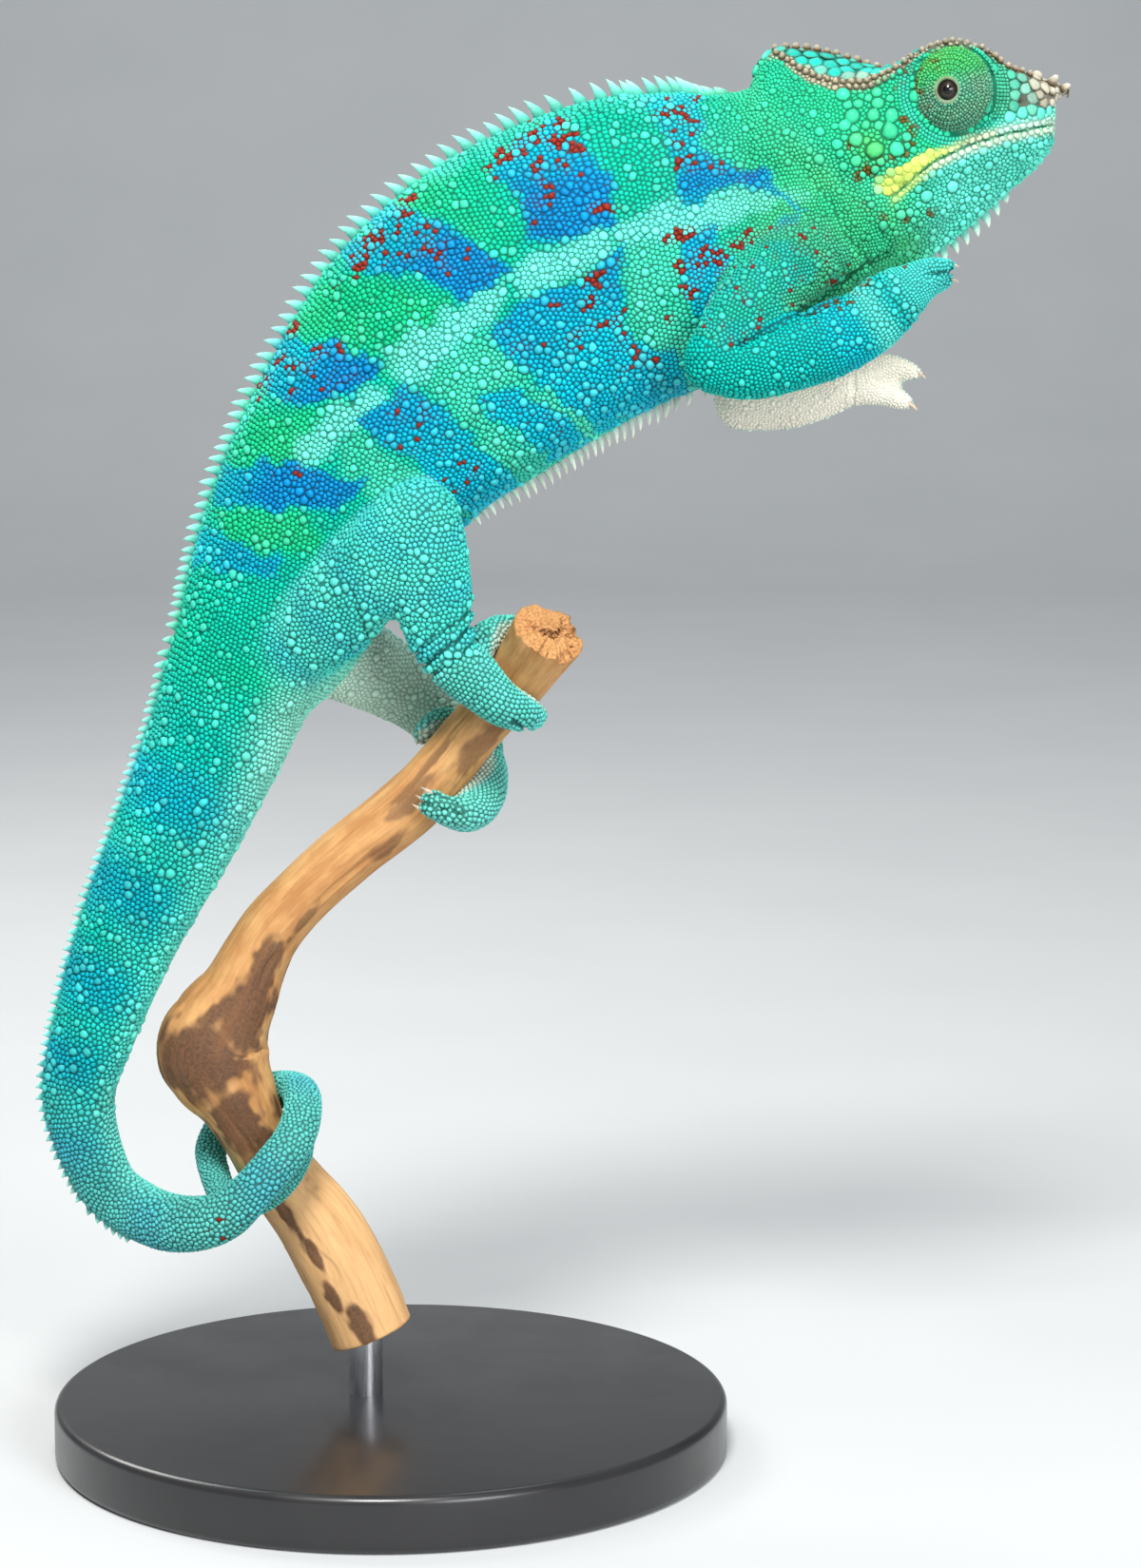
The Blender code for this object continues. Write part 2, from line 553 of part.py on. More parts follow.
def paint(obj, colour, roughness, metallic=0.0):
    material = bpy.data.materials.new(obj.name)
    material.use_nodes = True
    shader = material.node_tree.nodes["Principled BSDF"]
    shader.inputs["Base Color"].default_value = (*COLOURS[colour], 1.0)
    shader.inputs["Roughness"].default_value = roughness
    shader.inputs["Metallic"].default_value = metallic
    obj.data.materials.clear()
    obj.data.materials.append(material)


def build():
    clear_scene()
    torso = Body(TORSO, egg=EGG)
    branch = Body(BRANCH)
    flesh = torso_nodes(torso)
    neck_front = half_space("ahead", NECK_CUT - NECK_CUT_NORMAL * GAP / 2, NECK_CUT_NORMAL)
    combine(flesh["neck"], neck_front, "DIFFERENCE")
    heads = head_nodes()

    # Each upper limb is cut by the torso, and each lower one by the limb above it as well.
    for name in LIMBS:
        part, side = name.rsplit("_", 1)
        node = limb(name)
        for carrier in LIMB_CARRIERS:
            combine(node, loft("torso_cutter", torso_rings(torso, carrier, grow=GAP)), "DIFFERENCE")
        above = {"shank": "thigh", "forearm": "upper_arm"}.get(part)
        if above:
            combine(node, limb(f"{above}_{side}", grow=GAP), "DIFFERENCE")
        flesh[name] = node

    ahead_of = {"hindfoot": "shank", "forefoot": "forearm"}
    for name in FEET:
        part, side = name.split("_")
        hind = part == "hindfoot"
        ball_down = towards_branch(branch) if hind else (lambda point: Vector((0.3, 0, -1)).normalized())
        node = foot(name, ball_down)
        combine(node, limb(f"{ahead_of[part]}_{side}", grow=GAP), "DIFFERENCE")
        flesh[name] = node
    for name in ("hindfoot_right", "hindfoot_left", "tail_5", "tail_6_coil", "tail_7_coil", "tail_8_coil",
                 "tail_9_tip", "shank_left", "shank_right"):
        combine(flesh[name], branch_node(branch, grow=GAP), "DIFFERENCE")

    perch = branch_node(branch)
    combine(perch, cylinder("rod_hole", ROD_RADIUS + GAP, 0, ROD_TOP + GAP, ROD_X), "DIFFERENCE")
    base = cylinder("stand_base", BASE_RADIUS, 0, BASE_THICKNESS, sides=32, chamfer=BASE_CHAMFER)
    combine(base, cylinder("rod_seat", ROD_RADIUS + GAP, ROD_BOTTOM - GAP, 40, ROD_X), "DIFFERENCE")
    rod = cylinder("stand_rod", ROD_RADIUS, ROD_BOTTOM, ROD_TOP, ROD_X)

    for node in flesh.values():
        keep_largest(node)
    for name, node in (flesh | heads).items():
        if name.startswith("eyeball"):
            paint(node, "eye", 0.1)
        else:
            paint(node, "skin", 0.5)
    paint(perch, "wood", 0.75)
    paint(base, "base", 0.35)
    paint(rod, "steel", 0.3, metallic=1.0)


build()
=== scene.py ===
"""Panther chameleon on its display stand: skin, scales, crests, eyes, claws, perch and finishes.

Sizes are in millimetres until a mesh is made. +Z is up, the head points to +X and the animal's
right side to -Y. One skin covers the whole animal, the scales stand on it, and both are painted
from the same markings, which are laid out along and around the body.
"""

import json
import math

import bmesh
import bpy
import numpy as np
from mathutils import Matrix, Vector
from mathutils.bvhtree import BVHTree
from mathutils.kdtree import KDTree

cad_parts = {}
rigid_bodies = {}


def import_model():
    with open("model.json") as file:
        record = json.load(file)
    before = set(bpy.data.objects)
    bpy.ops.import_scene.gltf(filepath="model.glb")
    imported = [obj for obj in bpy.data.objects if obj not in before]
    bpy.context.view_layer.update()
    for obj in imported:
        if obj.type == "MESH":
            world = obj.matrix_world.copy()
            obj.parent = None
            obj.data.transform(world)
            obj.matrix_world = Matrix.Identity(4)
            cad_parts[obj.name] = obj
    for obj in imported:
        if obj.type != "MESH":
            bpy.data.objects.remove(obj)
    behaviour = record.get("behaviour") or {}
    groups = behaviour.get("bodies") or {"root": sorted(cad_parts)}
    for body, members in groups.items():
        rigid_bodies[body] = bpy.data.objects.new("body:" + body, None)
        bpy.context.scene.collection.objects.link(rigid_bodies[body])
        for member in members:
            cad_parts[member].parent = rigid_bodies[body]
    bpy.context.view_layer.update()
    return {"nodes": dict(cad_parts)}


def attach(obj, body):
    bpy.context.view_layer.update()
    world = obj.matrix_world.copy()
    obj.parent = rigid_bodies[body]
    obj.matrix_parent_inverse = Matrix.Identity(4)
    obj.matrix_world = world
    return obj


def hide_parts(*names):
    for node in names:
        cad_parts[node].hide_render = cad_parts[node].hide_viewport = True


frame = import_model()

MM = 0.001
TAU = math.tau
rng = np.random.default_rng(11)

# ---- sizes of the animal, as in the solids ----

# Centre line of neck, trunk and tail: x, y, z, half height, half width.
TORSO = [
    (91, 0, 230, 15, 9), (80.6, 0, 225.7, 17.6, 10.6), (71.6, 0, 221.7, 20.4, 11.6),
    (61, 0, 217.2, 23.6, 12.6), (49.6, 0, 214.3, 25.9, 13.6), (38.5, 0, 211.5, 26.9, 14.2),
    (22.6, 0, 203.5, 27.2, 14.4), (9.5, 0, 193.3, 25.9, 14), (-1.5, 0, 181.1, 22.6, 13.4),
    (-12.3, 0, 164.1, 19.8, 12.6), (-21, 0, 146.8, 16.2, 11.4), (-25.6, 0, 138.5, 13.7, 10.2),
    (-29.3, 0, 129.1, 12.5, 9.6), (-37.1, 0, 111.7, 11, 8.8), (-45, 0, 95.4, 9.4, 7.8),
    (-52.4, 0, 75.5, 7.6, 6.6), (-55.2, 0, 63.5, 6.6, 6), (-50.8, -1, 48.9, 5.5, 5.3),
    (-45.3, -3.5, 44.8, 5.4, 5.1), (-39.1, -8, 43.3, 5.4, 5.1), (-32.8, -12.6, 44.1, 5.1, 4.9),
    (-27.6, -15.2, 46.3, 4.6, 4.5), (-23.2, -16.4, 50.6, 4.1, 4), (-19.4, -15.4, 54.9, 4, 3.9),
    (-16.1, -12.2, 58.9, 3.9, 3.8), (-14.9, -7, 62.7, 3.7, 3.6), (-15.9, 0, 64.8, 3.6, 3.5),
    (-19, 7.2, 64.3, 3.5, 3.4), (-24.1, 11.4, 62.2, 3.4, 3.3), (-29.6, 10.8, 57.9, 3.3, 3.2),
    (-32.7, 7.4, 53, 3.2, 3.1), (-31.4, 2.6, 48.5, 3.1, 3), (-29, -3, 46, 3, 2.9),
    (-25.2, -7.6, 46, 2.8, 2.7), (-21.4, -9.4, 47.8, 2.6, 2.6), (-19, -9.5, 49.6, 2.6, 2.5),
    (-16.6, -8.4, 52.4, 2.5, 2.5), (-15.1, -4.6, 55.9, 2.4, 2.4), (-16, 1.5, 57.7, 2.2, 2.2),
    (-19.1, 7.4, 57.4, 2, 2), (-23.4, 9.4, 55.8, 1.7, 1.7), (-26.8, 8.4, 53.5, 1.2, 1.2),
]
EGG = 0.24  # how much narrower the back is than the belly

LIMBS = {
    "thigh_right": [(-19, -5, 143.2, 8, 6.2), (-8.8, -10.5, 151.1, 8.6, 6.5), (-0.7, -14.4, 160.7, 7.6, 6),
        (4.9, -16.6, 167.4, 6.6, 5.5), (7.2, -17, 169.3, 6.1, 5.3)],
    "shank_right": [(7.5, -17, 169, 6, 5.2), (8.1, -16.5, 162.2, 6.8, 5.5), (8.8, -15, 153.9, 6.9, 5.3),
        (9.9, -13.6, 147.6, 6.3, 5), (11.5, -12.8, 143.6, 5.5, 4.5)],
    "thigh_left": [(-15, 4, 146, 9, 6), (-6.5, 11, 140.6, 8.2, 6), (1, 17, 135.6, 7, 5.5),
        (4.6, 18.6, 132.6, 6.2, 5)],
    "shank_left": [(4.8, 18.4, 132.4, 6, 5), (9, 15.5, 129.4, 5.7, 4.8), (12.6, 12, 126.8, 5.1, 4.4)],
    "upper_arm_right": [(74, -8, 214, 7, 5), (67, -13, 208, 7.2, 5.5), (61.5, -17, 202, 6.8, 5.5),
        (58, -19, 196.4, 6.3, 5.3)],
    "forearm_right": [(55.8, -19.5, 194.8, 6, 5.1), (61.5, -20, 193.6, 6, 5.2),
        (67.9, -20.5, 195.2, 6.4, 5.3), (75.3, -20.3, 197.9, 6.7, 5.3), (82.2, -20, 201.8, 6.5, 5),
        (87.4, -19.5, 205.6, 5.3, 4.5)],
    "upper_arm_left": [(74, 8, 212, 7, 5), (68.5, 12, 203, 6.5, 5), (64.5, 15, 194, 5.9, 4.8),
        (63, 15.5, 189, 5.7, 4.8)],
    "forearm_left": [(61.9, 15.5, 186.5, 5.8, 5), (69.8, 15, 186.5, 5.6, 4.9), (75.9, 14, 187.9, 5.2, 4.5),
        (80.6, 13, 189.3, 4.4, 3.9)],
}
FEET = {
    "hindfoot_right": {
        "palm": [(11.5, -12.8, 143.6, 5.4, 4.5), (15.7, -12.6, 139.7, 5.2, 4.4)],
        "outer": [(15.7, -12.6, 139.7, 5, 4.2), (19.9, -12, 135.8, 4.3, 3.7), (23.6, -9.4, 133.7, 3.7, 3.2),
            (25.6, -6.2, 132.6, 2.9, 2.6)],
        "inner": [(13.6, -9.8, 143.6, 3.6, 3.2), (17, -6.4, 146.2, 3.2, 3), (20.2, -1.4, 147.2, 3.1, 2.9),
            (24, 3.2, 146, 2.9, 2.8), (27.6, 4.6, 142, 2.3, 2.3)],
    },
    "hindfoot_left": {
        "palm": [(12.6, 12, 126.8, 5, 4.3), (16.1, 9, 125, 4.8, 4.2)],
        "outer": [(15.8, 8, 123.6, 4.6, 4), (16.8, 4.4, 120.6, 4.6, 4), (16.2, -1, 117.4, 4.5, 3.9),
            (14, -5.8, 115.8, 4.3, 3.7), (11, -8.4, 116.6, 3.9, 3.2), (8.4, -9.2, 117.8, 3.2, 2.8)],
        "inner": [(13.6, 9.8, 127.2, 3.8, 3.4), (9.6, 8.2, 129.6, 3.4, 3), (6.6, 4.6, 128.6, 2.7, 2.5)],
    },
    "forefoot_right": {
        "palm": [(87.4, -19.5, 205.6, 5.1, 4.3), (90.6, -19, 207.8, 3.9, 3.4)],
        "outer": [(90.2, -19.5, 208.8, 2.9, 2.7), (93.4, -19.4, 210, 2.3, 2.2),
            (95, -19.1, 210.2, 1.8, 1.7)],
        "inner": [(90.4, -18.4, 207.2, 3, 2.7), (93.2, -17.6, 207.4, 2.4, 2.3),
            (95, -17.2, 207.7, 1.8, 1.7)],
    },
    "forefoot_left": {
        "palm": [(80.6, 13, 189.3, 4.4, 3.7), (84.2, 12.4, 189.6, 4.4, 3)],
        "outer": [(83.8, 12.4, 191.8, 3.1, 2.6), (88.4, 12, 192.6, 2.4, 2.2),
            (92.2, 11.6, 191.5, 1.9, 1.8)],
        "inner": [(84.2, 12.4, 188.4, 3, 2.6), (87.8, 12, 187.4, 2.5, 2.2), (90.8, 11.6, 186.2, 2, 1.9)],
    },
}
TOES = {"hindfoot": {"outer": 3, "inner": 2}, "forefoot": {"outer": 2, "inner": 3}}

# Head, in cross-sections along x: x, then z on the middle of the crown, z and y of the side
# crest, z and y of the widest place, z and y low on the jaw, and z under the chin.
HEAD = np.array([
    (63, 243.6, 243.2, 1.8, 229, 10.4, 212, 8.6, 200), (66.6, 247.3, 246.6, 2.6, 230, 10.6, 213, 8.5, 202),
    (72, 247.5, 242.8, 5.8, 230, 11, 214, 8.2, 203), (77, 246.6, 241.2, 7.4, 229.5, 11.6, 216, 7.6, 204),
    (82, 245, 241.4, 8.2, 228.5, 12.2, 217, 7, 205.5), (87, 243.6, 243.8, 8.4, 227, 12.2, 218, 6.6, 207.5),
    (92, 243.8, 247, 8.2, 227, 11.4, 219, 6.2, 210), (97, 244.4, 248.2, 7.8, 229, 10.4, 221, 5.8, 213.3),
    (102, 243.6, 246.8, 7, 230.5, 9.4, 223.5, 5.4, 217.4), (107, 241.8, 243.9, 6, 232, 8.2, 226, 5, 222),
    (111, 241, 242.6, 5.2, 233, 7, 228, 4.4, 225.4), (113.4, 240.2, 241.2, 4, 233.6, 5.2, 229.6, 3.2, 228),
    (114.8, 238.4, 238.8, 2.4, 234, 3.2, 231.2, 2, 229.8),
])
SNOUT_HORN = [(107, 0, 240.2, 2.5, 5.4), (112, 0, 239.9, 2.3, 4.6), (114.6, 0, 239.8, 1.9, 3.2),
              (115.8, 0, 239.8, 1.6, 2.2)]
EYE = np.array((96.5, 8.2, 239.5))  # centre of the left turret; the right one mirrors it
ORBIT_RADII = np.array((8.3, 5.6, 8.5))
TURRET_RADII = np.array((7.2, 6.4, 7.6))
NECK_PLANE, NECK_NORMAL = np.array((77.5, 0, 225.5)), np.array((1, 0, 1)) / math.sqrt(2)
MOUTH = np.array([(86.5, 221.8), (88.4, 223.4), (90, 224.9), (93.5, 227.7), (99.6, 230.5), (106, 232.4),
                  (115.5, 234.2)])

BRANCH = [
    (28.4, -10.4, 147.9, 6.5, 6.5), (24.8, -5.6, 142.3, 5.9, 5.9), (19.4, -0.8, 134.6, 5.5, 5.5),
    (12.1, 0, 126.1, 5.4, 5.4), (4, 0, 116.6, 5.8, 5.7), (-6.3, 0, 108.1, 5.5, 5.5),
    (-14, 0, 101.3, 5.6, 5.6), (-19.8, 0, 95.2, 5.9, 5.9), (-23.6, 0, 89.2, 6.3, 6.2),
    (-26.3, 0, 83, 7.4, 6.6), (-29.2, 0, 77.8, 8.9, 7.4), (-31.1, 0, 72.8, 10.3, 8),
    (-29.8, 0, 68.4, 9.4, 7.6), (-27.2, 0, 63.7, 7.6, 7), (-24.6, 0, 58.3, 6.6, 6.5),
    (-21.4, 0, 52.6, 6.4, 6.4), (-17.9, 0, 47.8, 6.8, 6.6), (-13.6, 0, 42, 7.3, 7),
    (-9.6, 0, 34.8, 7.7, 7.3), (-5.8, 0, 26.6, 7.7, 7.4), (-3.6, 0, 21.2, 7.6, 7.4),
]

SKIN_VOXEL = 0.74
COAT_DEPTH = 0.4  # how far the skin lies under the tops of the scales


# ---- small mathematics ----

def ramp(x, low, high):
    """0 below low, 1 above high, smooth between."""
    t = np.clip((np.asarray(x, float) - low) / (high - low), 0, 1)
    return t * t * (3 - 2 * t)


def near(x, middle, reach):
    """1 at middle, falling smoothly to 0 at reach from it."""
    return 1 - ramp(np.abs(np.asarray(x, float) - middle), 0, reach)


def mix(a, b, share):
    return a + (b - a) * share


def unit(v):
    return v / np.maximum(np.linalg.norm(v, axis=-1, keepdims=True), 1e-9)


def lengths_along(line):
    """The length along a line of points at each of its points."""
    return np.concatenate(([0], np.cumsum(np.linalg.norm(np.diff(line, axis=0), axis=1))))


def read_table(at, table):
    """Reads a table of (place, value) rows at places between its rows."""
    return np.interp(at, *zip(*table))


def hashed(cells, seed):
    """A repeatable number from 0 to 1 for each whole-number cell."""
    x, y, z = cells[..., 0], cells[..., 1], cells[..., 2]
    h = (x * 374761393 + y * 668265263 + z * 362437 + seed * 974711) & 0xFFFFFFFF
    h = ((h ^ (h >> 13)) * 1274126177) & 0xFFFFFFFF
    return ((h ^ (h >> 16)) & 0xFFFF) / 65535.0


def noise(points, size, seed=0):
    """Smooth value noise from 0 to 1, with lumps about size across."""
    q = np.asarray(points, float) / size
    base = np.floor(q).astype(np.int64)
    f = q - base
    f = f * f * (3 - 2 * f)
    total = np.zeros(len(q))
    for corner in np.ndindex(2, 2, 2):
        weight = np.prod(np.where(corner, f, 1 - f), axis=1)
        total += weight * hashed(base + corner, seed)
    return total


def smooth_rows(rows, knots, marks):
    """Rows of numbers read at marks from a smooth curve through them."""
    rows, knots = np.asarray(rows, float), np.asarray(knots, float)
    last = len(rows) - 1
    before, after = np.maximum(np.arange(last + 1) - 1, 0), np.minimum(np.arange(last + 1) + 1, last)
    slopes = (rows[after] - rows[before]) / (knots[after] - knots[before])[:, None]
    marks = np.atleast_1d(np.asarray(marks, float))
    i = np.clip(np.searchsorted(knots, marks, side="right") - 1, 0, last - 1)
    span = (knots[i + 1] - knots[i])[:, None]
    t = (marks[:, None] - knots[i][:, None]) / span
    p0, p1, m0, m1 = rows[i], rows[i + 1], slopes[i] * span, slopes[i + 1] * span
    values = (2*t**3 - 3*t**2 + 1)*p0 + (t**3 - 2*t**2 + t)*m0 + (3*t**2 - 2*t**3)*p1 + (t**3 - t**2)*m1
    rates = ((6*t**2 - 6*t)*(p0 - p1) + (3*t**2 - 4*t + 1)*m0 + (3*t**2 - 2*t)*m1) / span
    return values, rates


class Loft:
    """A smooth body with egg-shaped sections through stations (x, y, z, half height, half width)."""

    def __init__(self, stations, egg=0.0, fine=0.5):
        self.rows, self.egg = np.array(stations, float), egg
        self.knots = lengths_along(self.rows[:, :3])
        self.length = self.knots[-1]
        self.marks = np.linspace(0, self.length, max(12, int(self.length / fine)))
        values, rates = smooth_rows(self.rows, self.knots, self.marks)
        self.centres, self.tangents = values[:, :3], unit(rates[:, :3])
        self.heights, self.widths = values[:, 3], values[:, 4]
        side, sides = np.array((0.0, 1.0, 0.0)), []
        for tangent in self.tangents:
            side = unit(side - tangent * (side @ tangent))
            sides.append(side)
        self.sides = np.array(sides)
        self.ups = np.cross(self.sides, self.tangents)

    def frame(self, s):
        """Centre, tangent, up, side, half height and half width at lengths s."""
        def read(table):
            table = table.reshape(len(self.marks), -1)
            return np.stack([np.interp(s, self.marks, column) for column in table.T], axis=-1)
        return (read(self.centres), unit(read(self.tangents)), unit(read(self.ups)), unit(read(self.sides)),
                read(self.heights)[:, 0], read(self.widths)[:, 0])

    def surface(self, s, turn, grow=0.0):
        """Points on the outside at lengths s, turned up from the left side."""
        centre, _, up, side, height, width = self.frame(s)
        across = np.cos(turn) * (width + grow) * (1 - self.egg * np.sin(turn))
        return centre + up * (np.sin(turn) * (height + grow))[:, None] + side * across[:, None]

    def place(self, points):
        """Nearest length, shares of the half height and half width, and how far out, 1 on the surface."""
        s, size = np.empty(len(points)), (self.heights + self.widths)**2
        for start in range(0, len(points), 10000):
            part = points[start:start + 10000]
            gap = (part**2).sum(1)[:, None] - 2 * part @ self.centres.T + (self.centres**2).sum(1)
            s[start:start + 10000] = self.marks[(gap / size).argmin(1)]
        return (s, *self.section(points, s))

    def section(self, points, s):
        centre, tangent, up, side, height, width = self.frame(s)
        rel = points - centre
        v = (rel * up).sum(1) / height
        w = (rel * side).sum(1) / width
        w = w / np.clip(1 - self.egg * np.clip(v, -1, 1), 0.5, 2)
        past = (rel * tangent).sum(1) / width
        return v, w, np.sqrt(v * v + w * w + past * past)

    def gap(self, s, out):
        """About how many mm outside the surface, for a share of the way out."""
        return (out - 1) * np.interp(s, self.marks, (self.heights + self.widths) / 2)

    def shell(self, step, sides):
        """Vertices and faces of the closed body, with round ends."""
        marks = np.linspace(0, self.length, max(3, int(self.length / step)))
        turns = np.arange(sides) * TAU / sides
        rings = [self.surface(np.full(sides, s), turns) for s in marks]
        centres, tangents, *_, widths = self.frame(marks)
        c0, c1, out0, out1 = centres[0], centres[-1], tangents[0] * widths[0], tangents[-1] * widths[-1]
        first, last = rings[0], rings[-1]
        for bend in (0.3, 0.55, 0.8):
            reach, size = math.sin(bend * math.pi / 2), math.cos(bend * math.pi / 2)
            rings.insert(0, c0 + (first - c0) * size - out0 * reach)
            rings.append(c1 + (last - c1) * size + out1 * reach)
        return rings_to_shell(rings, c0 - out0, c1 + out1)


def rings_to_shell(rings, first_pole, last_pole):
    """Vertices and faces of a closed tube through rings, with a pole at each end."""
    sides, count = len(rings[0]), len(rings)
    verts = np.concatenate([*rings, [first_pole], [last_pole]])
    faces = []
    for r in range(count - 1):
        a, b = r * sides, (r + 1) * sides
        faces += [(a + i, a + (i + 1) % sides, b + (i + 1) % sides, b + i) for i in range(sides)]
    end = (count - 1) * sides
    faces += [(len(verts) - 2, (i + 1) % sides, i) for i in range(sides)]
    faces += [(len(verts) - 1, end + i, end + (i + 1) % sides) for i in range(sides)]
    return verts, faces


# ---- Blender helpers ----

def deselect_all():
    for obj in bpy.context.view_layer.objects:
        obj.select_set(False)


def make_active(obj):
    deselect_all()
    obj.select_set(True)
    bpy.context.view_layer.objects.active = obj


def primitive(add, name, **settings):
    """A new primitive, added by its operator with nothing else selected."""
    deselect_all()
    add(**settings)
    obj = bpy.context.object
    obj.name = obj.data.name = name
    return obj


def linked_object(name, data):
    obj = bpy.data.objects.new(name, data)
    bpy.context.scene.collection.objects.link(obj)
    return obj


def mesh_object(name, verts, faces):
    """An object from vertices in mm and faces."""
    mesh = bpy.data.meshes.new(name)
    mesh.from_pydata((np.asarray(verts) * MM).tolist(), [], faces)
    mesh.update()
    return linked_object(name, mesh)


def apply_modifier(obj, kind, **settings):
    make_active(obj)
    modifier = obj.modifiers.new(kind.lower(), kind)
    for key, value in settings.items():
        setattr(modifier, key, value)
    bpy.ops.object.modifier_apply(modifier=modifier.name)


def read_points(mesh, field="vertices", key="co"):
    items = getattr(mesh, field)
    values = np.empty(len(items) * 3, np.float32)
    items.foreach_get(key, values)
    return values.reshape(-1, 3).astype(float)


def read_normals(mesh):
    return read_points(mesh, "vertex_normals", "vector")


def write_points(mesh, points):
    mesh.vertices.foreach_set("co", np.asarray(points, np.float32).ravel())
    mesh.update()


def reshape(obj, points):
    """Moves the vertices of a closed smooth piece to points in mm."""
    write_points(obj.data, points * MM)
    recalculate_normals(obj)
    obj.data.shade_smooth()


def recalculate_normals(obj):
    bm = bmesh.new()
    bm.from_mesh(obj.data)
    bmesh.ops.recalc_face_normals(bm, faces=bm.faces)
    bm.to_mesh(obj.data)
    bm.free()


def shells_object(name, shells):
    """One object from closed shells of vertices and faces, facing outwards."""
    verts, faces, count = [], [], 0
    for points, polygons in shells:
        verts.append(points)
        faces += [tuple(i + count for i in polygon) for polygon in polygons]
        count += len(points)
    obj = mesh_object(name, np.concatenate(verts), faces)
    recalculate_normals(obj)
    return obj


def store(mesh, name, kind, key, values):
    """Stores values at each vertex, where a material reads them by name."""
    attribute = mesh.attributes.new(name, kind, "POINT")
    attribute.data.foreach_set(key, np.asarray(values, np.float32).ravel())


def paint_tones(mesh, tones):
    """Stores the marking masks of each vertex as four four-channel attributes."""
    for k, name in enumerate(TONE_ATTRIBUTES):
        four = np.stack([tones[m] for m in MASKS[4 * k:4 * k + 4]], axis=1)
        store(mesh, name, "FLOAT_COLOR", "color", np.clip(four, 0, 1))


def finish_piece(obj, material, replaced=()):
    """Rides the piece on the still body and gives it its slot and material."""
    obj.data.materials.clear()
    obj.data.materials.append(material)
    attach(obj, "root")
    if replaced:
        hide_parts(*replaced)
    return obj


# ---- the skin ----

torso = Loft(TORSO, EGG)
limbs = {name: Loft(rows) for name, rows in LIMBS.items()}
bundles = {f"{foot}.{part}": Loft(rows) for foot, parts in FEET.items() for part, rows in parts.items()}


def head_outline(row):
    """One cross-section of the head, from the crown down the left side, under the chin and back up."""
    _, crown, crest_z, crest_y, wide_z, wide_y, low_z, low_y, chin = row
    temple = (crest_y * 0.45 + wide_y * 0.55 + 0.3, crest_z * 0.5 + wide_z * 0.5)
    half = [(crest_y * 0.5, crown * 0.55 + crest_z * 0.45), (crest_y, crest_z), temple, (wide_y, wide_z),
            ((wide_y + low_y) / 2 + 0.4, (wide_z + low_z) / 2), (low_y, low_z),
            (low_y * 0.5, chin * 0.75 + low_z * 0.25)]
    return [(0, crown), *half, (0, chin), *[(-y, z) for y, z in reversed(half)]]


def head_shell():
    values, _ = smooth_rows(HEAD, HEAD[:, 0], np.linspace(HEAD[0, 0], HEAD[-1, 0], 60))
    rings = []
    for row in values:
        outline = np.array(head_outline(row))
        loop = np.concatenate([outline[-2:], outline, outline[:3]])
        turns = np.linspace(2, 2 + len(outline), 80, endpoint=False)
        fine, _ = smooth_rows(loop, np.arange(len(loop)), turns)
        rings.append(np.column_stack([np.full(len(fine), row[0]), fine]))
    poles = [ring.mean(0) + (way * 0.6, 0, 0) for ring, way in ((rings[0], -1), (rings[-1], 1))]
    return rings_to_shell(rings, *poles)


def ball_shell(centre, radii, count=40):
    """A closed ellipsoid with its poles across the body."""
    rings = []
    for k in range(1, count):
        polar = math.pi * k / count
        turns = np.arange(2 * count) * TAU / (2 * count)
        ring = np.stack([np.cos(turns) * math.sin(polar), np.full(2 * count, -math.cos(polar)),
                         np.sin(turns) * math.sin(polar)], axis=1)
        rings.append(centre + ring * radii)
    return rings_to_shell(rings, centre - (0, radii[1], 0), centre + (0, radii[1], 0))


def toe_lofts():
    """A short rounded toe for each claw: its foot, loft, tip, and the ways ahead and inwards."""
    toes = []
    for name, bundle in bundles.items():
        foot, part = name.split(".")
        if part == "palm":
            continue
        count = TOES[foot.split("_")[0]][part]
        end = np.array([bundle.length])
        centre, ahead, _, _, height, width = (value[0] for value in bundle.frame(end))
        inward = towards_grip(foot, centre)
        spread = unit(np.cross(ahead, inward))
        for k in range(count):
            across = (k - (count - 1) / 2) / count * 2 * 0.8
            start = centre - ahead * width * 1.6 + spread * across * height * 0.9
            tip = centre + spread * across * height + ahead * width * (0.75 - 0.25 * across**2)
            radius = height / count * 1.05 + 0.25
            middle = (start + tip) / 2 - inward * 0.2
            rows = [(*start, radius, radius), (*middle, radius, radius), (*tip, radius * 0.8, radius * 0.8)]
            toes.append((foot, Loft(rows), tip, unit(ahead + inward * 0.35), inward))
    return toes


def towards_grip(foot, point):
    """The direction in which a foot closes: towards the branch, or down and ahead in the air."""
    if foot.startswith("fore"):
        return unit(np.array((0.3, 0, -1.0)))
    nearest = branch.centres[np.linalg.norm(branch.centres - point, axis=1).argmin()]
    return unit(nearest - point)


branch = Loft(BRANCH)
toes = toe_lofts()


